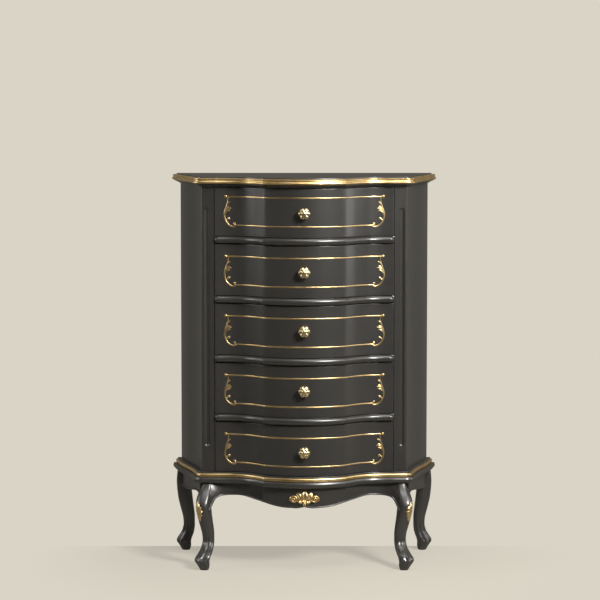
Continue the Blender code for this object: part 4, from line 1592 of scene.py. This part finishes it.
@dataclass(frozen=True)
class StarKnob(DrawerPart):
    """A gilded knob: a turned stem and a six-pointed flower with a boss in its middle.

    The profile holds shares of the projection and of the head's radius, and how deep the notches are.
    """

    head_radius: float = 0.0175
    projection: float = 0.0297
    points: int = 6
    steps: int = 96
    notch_power: float = 3.0
    notch_fall: float = 0.45
    head_start: float = 0.5
    profile: Shares = (
        (0.00, 0.50, 0.0), (0.03, 0.52, 0.0), (0.07, 0.50, 0.0), (0.10, 0.42, 0.0), (0.15, 0.34, 0.0),
        (0.22, 0.30, 0.0), (0.34, 0.29, 0.0), (0.43, 0.33, 0.0), (0.48, 0.52, 0.03), (0.53, 0.78, 0.07),
        (0.58, 0.94, 0.11), (0.64, 1.01, 0.14), (0.70, 1.03, 0.15), (0.76, 1.00, 0.15), (0.82, 0.91, 0.14),
        (0.87, 0.78, 0.12), (0.90, 0.63, 0.10), (0.91, 0.50, 0.07), (0.90, 0.42, 0.04), (0.91, 0.38, 0.02),
        (0.94, 0.34, 0.0), (0.97, 0.26, 0.0), (0.99, 0.15, 0.0), (1.00, 0.03, 0.0),
    )

    def make(self) -> None:
        """Add the knob."""
        low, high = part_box(self.drawer + "_knob")
        seat = Vector((0.0, self.outline.front.face_y(0.0), (low.z + high.z) / 2))
        rings = []
        for out, radius, notch in self.profile:
            ring = []
            for turn in spaced(0, FULL_TURN, self.steps)[:-1]:
                between = (0.5 - 0.5 * math.cos(self.points * turn)) ** self.notch_power
                reach = self.head_radius * radius * (1 - notch * between)
                fall = self.notch_fall * between * notch * (out > self.head_start)
                y = seat.y - (out - fall) * self.projection
                ring.append(Vector((reach * math.cos(turn), y, seat.z + reach * math.sin(turn))))
            rings.append(ring)
        self.dresser.add(self.drawer + "_knob", "flower", Shape(rings), Slot.KNOB_BRASS, 50, self.drawer)


@dataclass(frozen=True)
class DrawerFront(DrawerPart):
    """The bowed front of a drawer."""

    thickness: float = 0.022
    edge_radius: float = 0.0016
    edge_row: float = 0.0024
    side_gap: float = 0.0015

    def make(self) -> None:
        """Add the front, with a narrow row along its upper and its lower edge."""
        node = self.drawer + "_front"
        low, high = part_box(node)
        curve = self.outline.front
        rings = []
        for x in curve.xs(self.outline.opening_half_width - self.side_gap):
            face, back = curve.face_y(x), curve.y(x) + self.thickness
            rings.append([Vector((x, y, z)) for y, z in (
                (face, low.z), (face, low.z + self.edge_row), (face, high.z - self.edge_row), (face, high.z),
                (back, high.z), (back, low.z),
            )])
        shape = Shape(rings)
        shape.bevel_sharp(50, self.edge_radius, 3)
        self.dresser.add(node, "bowed", shape, Slot.LACQUER, 32, self.drawer)


@dataclass(frozen=True)
class Drawers(Part):
    """The five drawers, whose gold frames lie a pitch apart from the top one down."""

    frame_middle: float = 1.1028
    frame_pitch: float = 0.1833

    def make(self) -> None:
        """Add every drawer's front, frame and knob."""
        for index in range(DRAWER_COUNT):
            drawer = f"drawer_{index + 1}"
            middle_z = self.frame_middle - self.frame_pitch * index
            DrawerFront(self.outline, self.dresser, drawer).make()
            GoldFrame(self.outline, self.dresser, drawer, middle_z).make()
            StarKnob(self.outline, self.dresser, drawer).make()


# The studio


class StageGraph(Graph):
    """The nodes of the floor, of the wall or of the world, which know the rays that look at them."""

    def __init__(self, owner: bpy.types.Material | bpy.types.World) -> None:
        """Start with the rays that see the surface and those that a reflection sends.

        Args:
            owner: The material or the world.
        """
        super().__init__(owner)
        self.tree.nodes.clear()
        rays = self.node("LightPath").outputs
        self.glossy = rays["Is Glossy Ray"]
        straight = self.worked("Math", "MAXIMUM", rays["Is Camera Ray"], rays["Is Transmission Ray"])
        self.seen = self.worked("Math", "MAXIMUM", straight, self.glossy)

    def less(self, value: Socket) -> Socket:
        """Return 1 less a value."""
        return self.worked("Math", "SUBTRACT", 1.0, value)

    def reflected(self, strength: Socket) -> Socket:
        """Return 1, but a strength of its own where a reflection looks."""
        return self.less(self.worked("Math", "MULTIPLY", self.glossy, self.less(strength)))

    def toward(self, place: Socket, way: Triple, span: Pair, end: float) -> Socket:
        """Return what grows from 0 to an end as a place runs through a span along a direction."""
        return self.moved(self.worked("VectorMath", "DOT_PRODUCT", place, way), span, (0.0, end))

    def show(self, share: Socket, first: bpy.types.Node, second: bpy.types.Node) -> None:
        """Show one shader, and a share of a second one over it.

        Args:
            share: The second one's share.
            first: The first shader.
            second: The second shader.
        """
        blend = self.node("MixShader", Fac=share)
        for target, shader in zip(blend.inputs[1:], (first, second)):
            self.feed(target, shader.outputs[0])
        kind = "OutputWorld" if isinstance(self.owner, bpy.types.World) else "OutputMaterial"
        self.node(kind, Surface=blend.outputs[0])


@dataclass(frozen=True)
class Lamp:
    """A soft square lamp: where it hangs, what it points at, its size, strength and colour."""

    name: str
    azimuth: float
    elevation: float
    distance: float
    size: Pair
    power: float
    colour: Triple = WHITE
    target: Triple = (0.0, 0.0, 0.65)

    def make(self) -> None:
        """Hang the lamp."""
        light = bpy.data.lights.new(self.name, "AREA")
        light.shape = "RECTANGLE"
        light.size, light.size_y = self.size
        light.energy = self.power
        light.color = self.colour
        lamp = bpy.data.objects.new(self.name, light)
        bpy.context.scene.collection.objects.link(lamp)
        a, e = math.radians(self.azimuth), math.radians(self.elevation)
        away = Vector((math.sin(a) * math.cos(e), -math.cos(a) * math.cos(e), math.sin(e)))
        lamp.location = Vector(self.target) + away * self.distance
        lamp.rotation_mode = "QUATERNION"
        lamp.rotation_quaternion = (-away).to_track_quat("-Z", "Y")


@dataclass(frozen=True)
class Studio:
    """A pale floor and wall, soft lamps and the camera.

    Reflections show the same pale room, which grows dark towards the camera's side of it.
    """

    background: Triple = (0.7011, 0.6584, 0.5647)
    paper: Triple = (0.552, 0.518, 0.446)
    ambient: Triple = (0.060, 0.059, 0.057)
    room_share: float = 0.26
    ceiling_range: Pair = (0.36, 0.86)
    ceiling_share: float = 0.50
    up: Triple = (0.0, 0.0, 1.0)
    forward: Triple = (0.0, -1.0, 0.0)
    floor_size: float = 60.0
    floor_glow: float = 0.60
    shade_near: float = 0.45
    shade_far: float = 0.92
    wall_y: float = 0.245
    dark_toward: Triple = (0.0, -0.92, 0.38)
    dark_range: Pair = (-0.15, 0.55)
    dark_floor: Pair = (0.7, 2.2)
    dark_share: float = 0.85
    camera_place: Triple = (-0.01312, -7.94, 1.54)
    camera_pitch: float = -5.181
    camera_lens: float = 154.015
    camera_clip: float = 200.0
    sensor: float = 36.0
    lamps: tuple[Lamp, ...] = (
        Lamp("key_lamp", 34, 31, 4.2, (0.9, 0.9), 225.0, (1.0, 0.985, 0.96)),
        Lamp("top_lamp", 15, 66, 3.2, (1.6, 1.2), 30.0),
        Lamp("left_back_lamp", -105, 12, 3.4, (1.0, 1.5), 7.5),
        Lamp("left_lamp", -78, 20, 3.4, (1.2, 1.2), 23.0),
        Lamp("right_lamp", 72, 20, 3.4, (1.2, 1.2), 14.0),
        Lamp("right_back_lamp", 95, 12, 3.4, (1.0, 1.5), 10.0),
    )

    def make(self) -> None:
        """Set up the whole studio."""
        self._floor()
        self._wall()
        self._world()
        for lamp in self.lamps:
            lamp.make()
        self._camera()

    def _floor(self) -> None:
        """Lay the floor, which takes the chest's shadow near it and fades into the backdrop."""
        shape = Shape()
        bmesh.ops.create_grid(shape.bm, x_segments=2, y_segments=2, size=self.floor_size / 2)
        board = StageGraph(bpy.data.materials.new("studio_floor_paper"))
        place = board.node("TexCoord").outputs["Object"]
        away = board.worked("VectorMath", "LENGTH", place)
        fade = board.moved(away, (self.shade_near, self.shade_far), (self.floor_glow, 1.0))
        dark = board.toward(place, self.forward, self.dark_floor, self.dark_share)
        room = board.worked("Math", "MULTIPLY", board.less(dark), self.room_share)
        paper = board.node("BsdfDiffuse", Color=self.paper)
        glow = board.node("Emission", Color=self.background, Strength=board.reflected(room))
        board.show(board.worked("Math", "MULTIPLY", board.seen, fade), paper, glow)
        self._stand("studio_floor", shape, board.owner)

    def _wall(self) -> None:
        """Stand the plain wall behind the chest, which only a camera in front of it sees."""
        shape = Shape()
        bmesh.ops.create_grid(shape.bm, x_segments=1, y_segments=1, size=self.floor_size / 2)
        for vert in shape.bm.verts:
            vert.co = Vector((vert.co.x, self.wall_y, vert.co.y + self.floor_size / 2))
        board = StageGraph(bpy.data.materials.new("studio_wall_paper"))
        behind = board.node("NewGeometry").outputs["Backfacing"]
        board.show(behind, board.node("Emission", Color=self.background), board.node("BsdfTransparent"))
        wall = self._stand("studio_wall", shape, board.owner)
        wall.visible_diffuse = wall.visible_glossy = wall.visible_shadow = wall.visible_transmission = False

    def _stand(self, name: str, shape: Shape, material: bpy.types.Material) -> bpy.types.Object:
        """Add a piece of the studio.

        Args:
            name: Its name.
            shape: Its shape, which is closed here.
            material: Its material.

        Returns:
            The piece's object.
        """
        mesh = shape.finish(name)
        mesh.materials.append(material)
        piece = bpy.data.objects.new(name, mesh)
        bpy.context.scene.collection.objects.link(piece)
        return piece

    def _world(self) -> None:
        """Set the backdrop's colour and the soft light from all round."""
        world = bpy.data.worlds.new("studio_world")
        bpy.context.scene.world = world
        board = StageGraph(world)
        way = board.node("TexCoord").outputs["Generated"]
        dark = board.toward(way, self.dark_toward, self.dark_range, self.dark_share)
        room = board.worked("Math", "MULTIPLY", board.less(dark), self.room_share)
        ceiling = board.toward(way, self.up, self.ceiling_range, self.ceiling_share)
        strength = board.reflected(board.worked("Math", "MAXIMUM", room, ceiling))
        light = board.node("Background", Color=self.ambient)
        board.show(board.seen, light, board.node("Background", Color=self.background, Strength=strength))

    def _camera(self) -> None:
        """Set the camera at the photograph's place."""
        data = bpy.data.cameras.new("photo_camera")
        data.sensor_width = data.sensor_height = self.sensor
        data.sensor_fit = "HORIZONTAL"
        data.lens = self.camera_lens
        data.clip_end = self.camera_clip
        camera = bpy.data.objects.new("photo_camera", data)
        bpy.context.scene.collection.objects.link(camera)
        camera.location = self.camera_place
        camera.rotation_euler = (math.radians(90 + self.camera_pitch), 0.0, 0.0)
        bpy.context.scene.camera = camera
        bpy.context.scene.view_settings.view_transform = "Standard"


# The whole chest


@dataclass(frozen=True)
class Insides(Part):
    """The boards inside the case and the drawers, which keep the shapes of their CAD nodes."""

    def make(self) -> None:
        """Give every board its wood, with the grain along the board."""
        dress = self.dresser.dress
        dress("back_panel", Slot.CARCASS_WOOD, Grain.ALONG_Z)
        for side in Side:
            dress(f"guide_panel_{side.word}", Slot.CARCASS_WOOD, Grain.ALONG_Z)
        for number in range(1, DRAWER_COUNT):
            dress(f"dust_board_{number}", Slot.CARCASS_WOOD, Grain.ALONG_X)
        for number in range(1, DRAWER_COUNT + 1):
            dress(f"drawer_{number}_back", Slot.DRAWER_WOOD, Grain.ALONG_X)
            dress(f"drawer_{number}_bottom", Slot.CARCASS_WOOD, Grain.ALONG_X)
            for side in Side:
                dress(f"drawer_{number}_side_{side.word}", Slot.DRAWER_WOOD, Grain.ALONG_Y)


def main() -> None:
    """Build the studio and every part of the chest."""
    logging.basicConfig(level=logging.INFO, format="%(name)s: %(message)s")
    Studio().make()
    dresser = Dresser(make_finishes())
    shared = (CaseOutline(), dresser)
    aprons = Aprons(*shared)
    parts = (
        TopBoard(*shared), BaseBoard(*shared), CaseWalls(*shared), DrawerRail(*shared), Legs(*shared),
        aprons, ShellOrnament(*shared, aprons), KneeLeaf(*shared), Drawers(*shared), Insides(*shared),
    )
    for part in parts:
        part.make()
    log.info("%d pieces made", dresser.count)


if __name__ == "__main__":
    main()
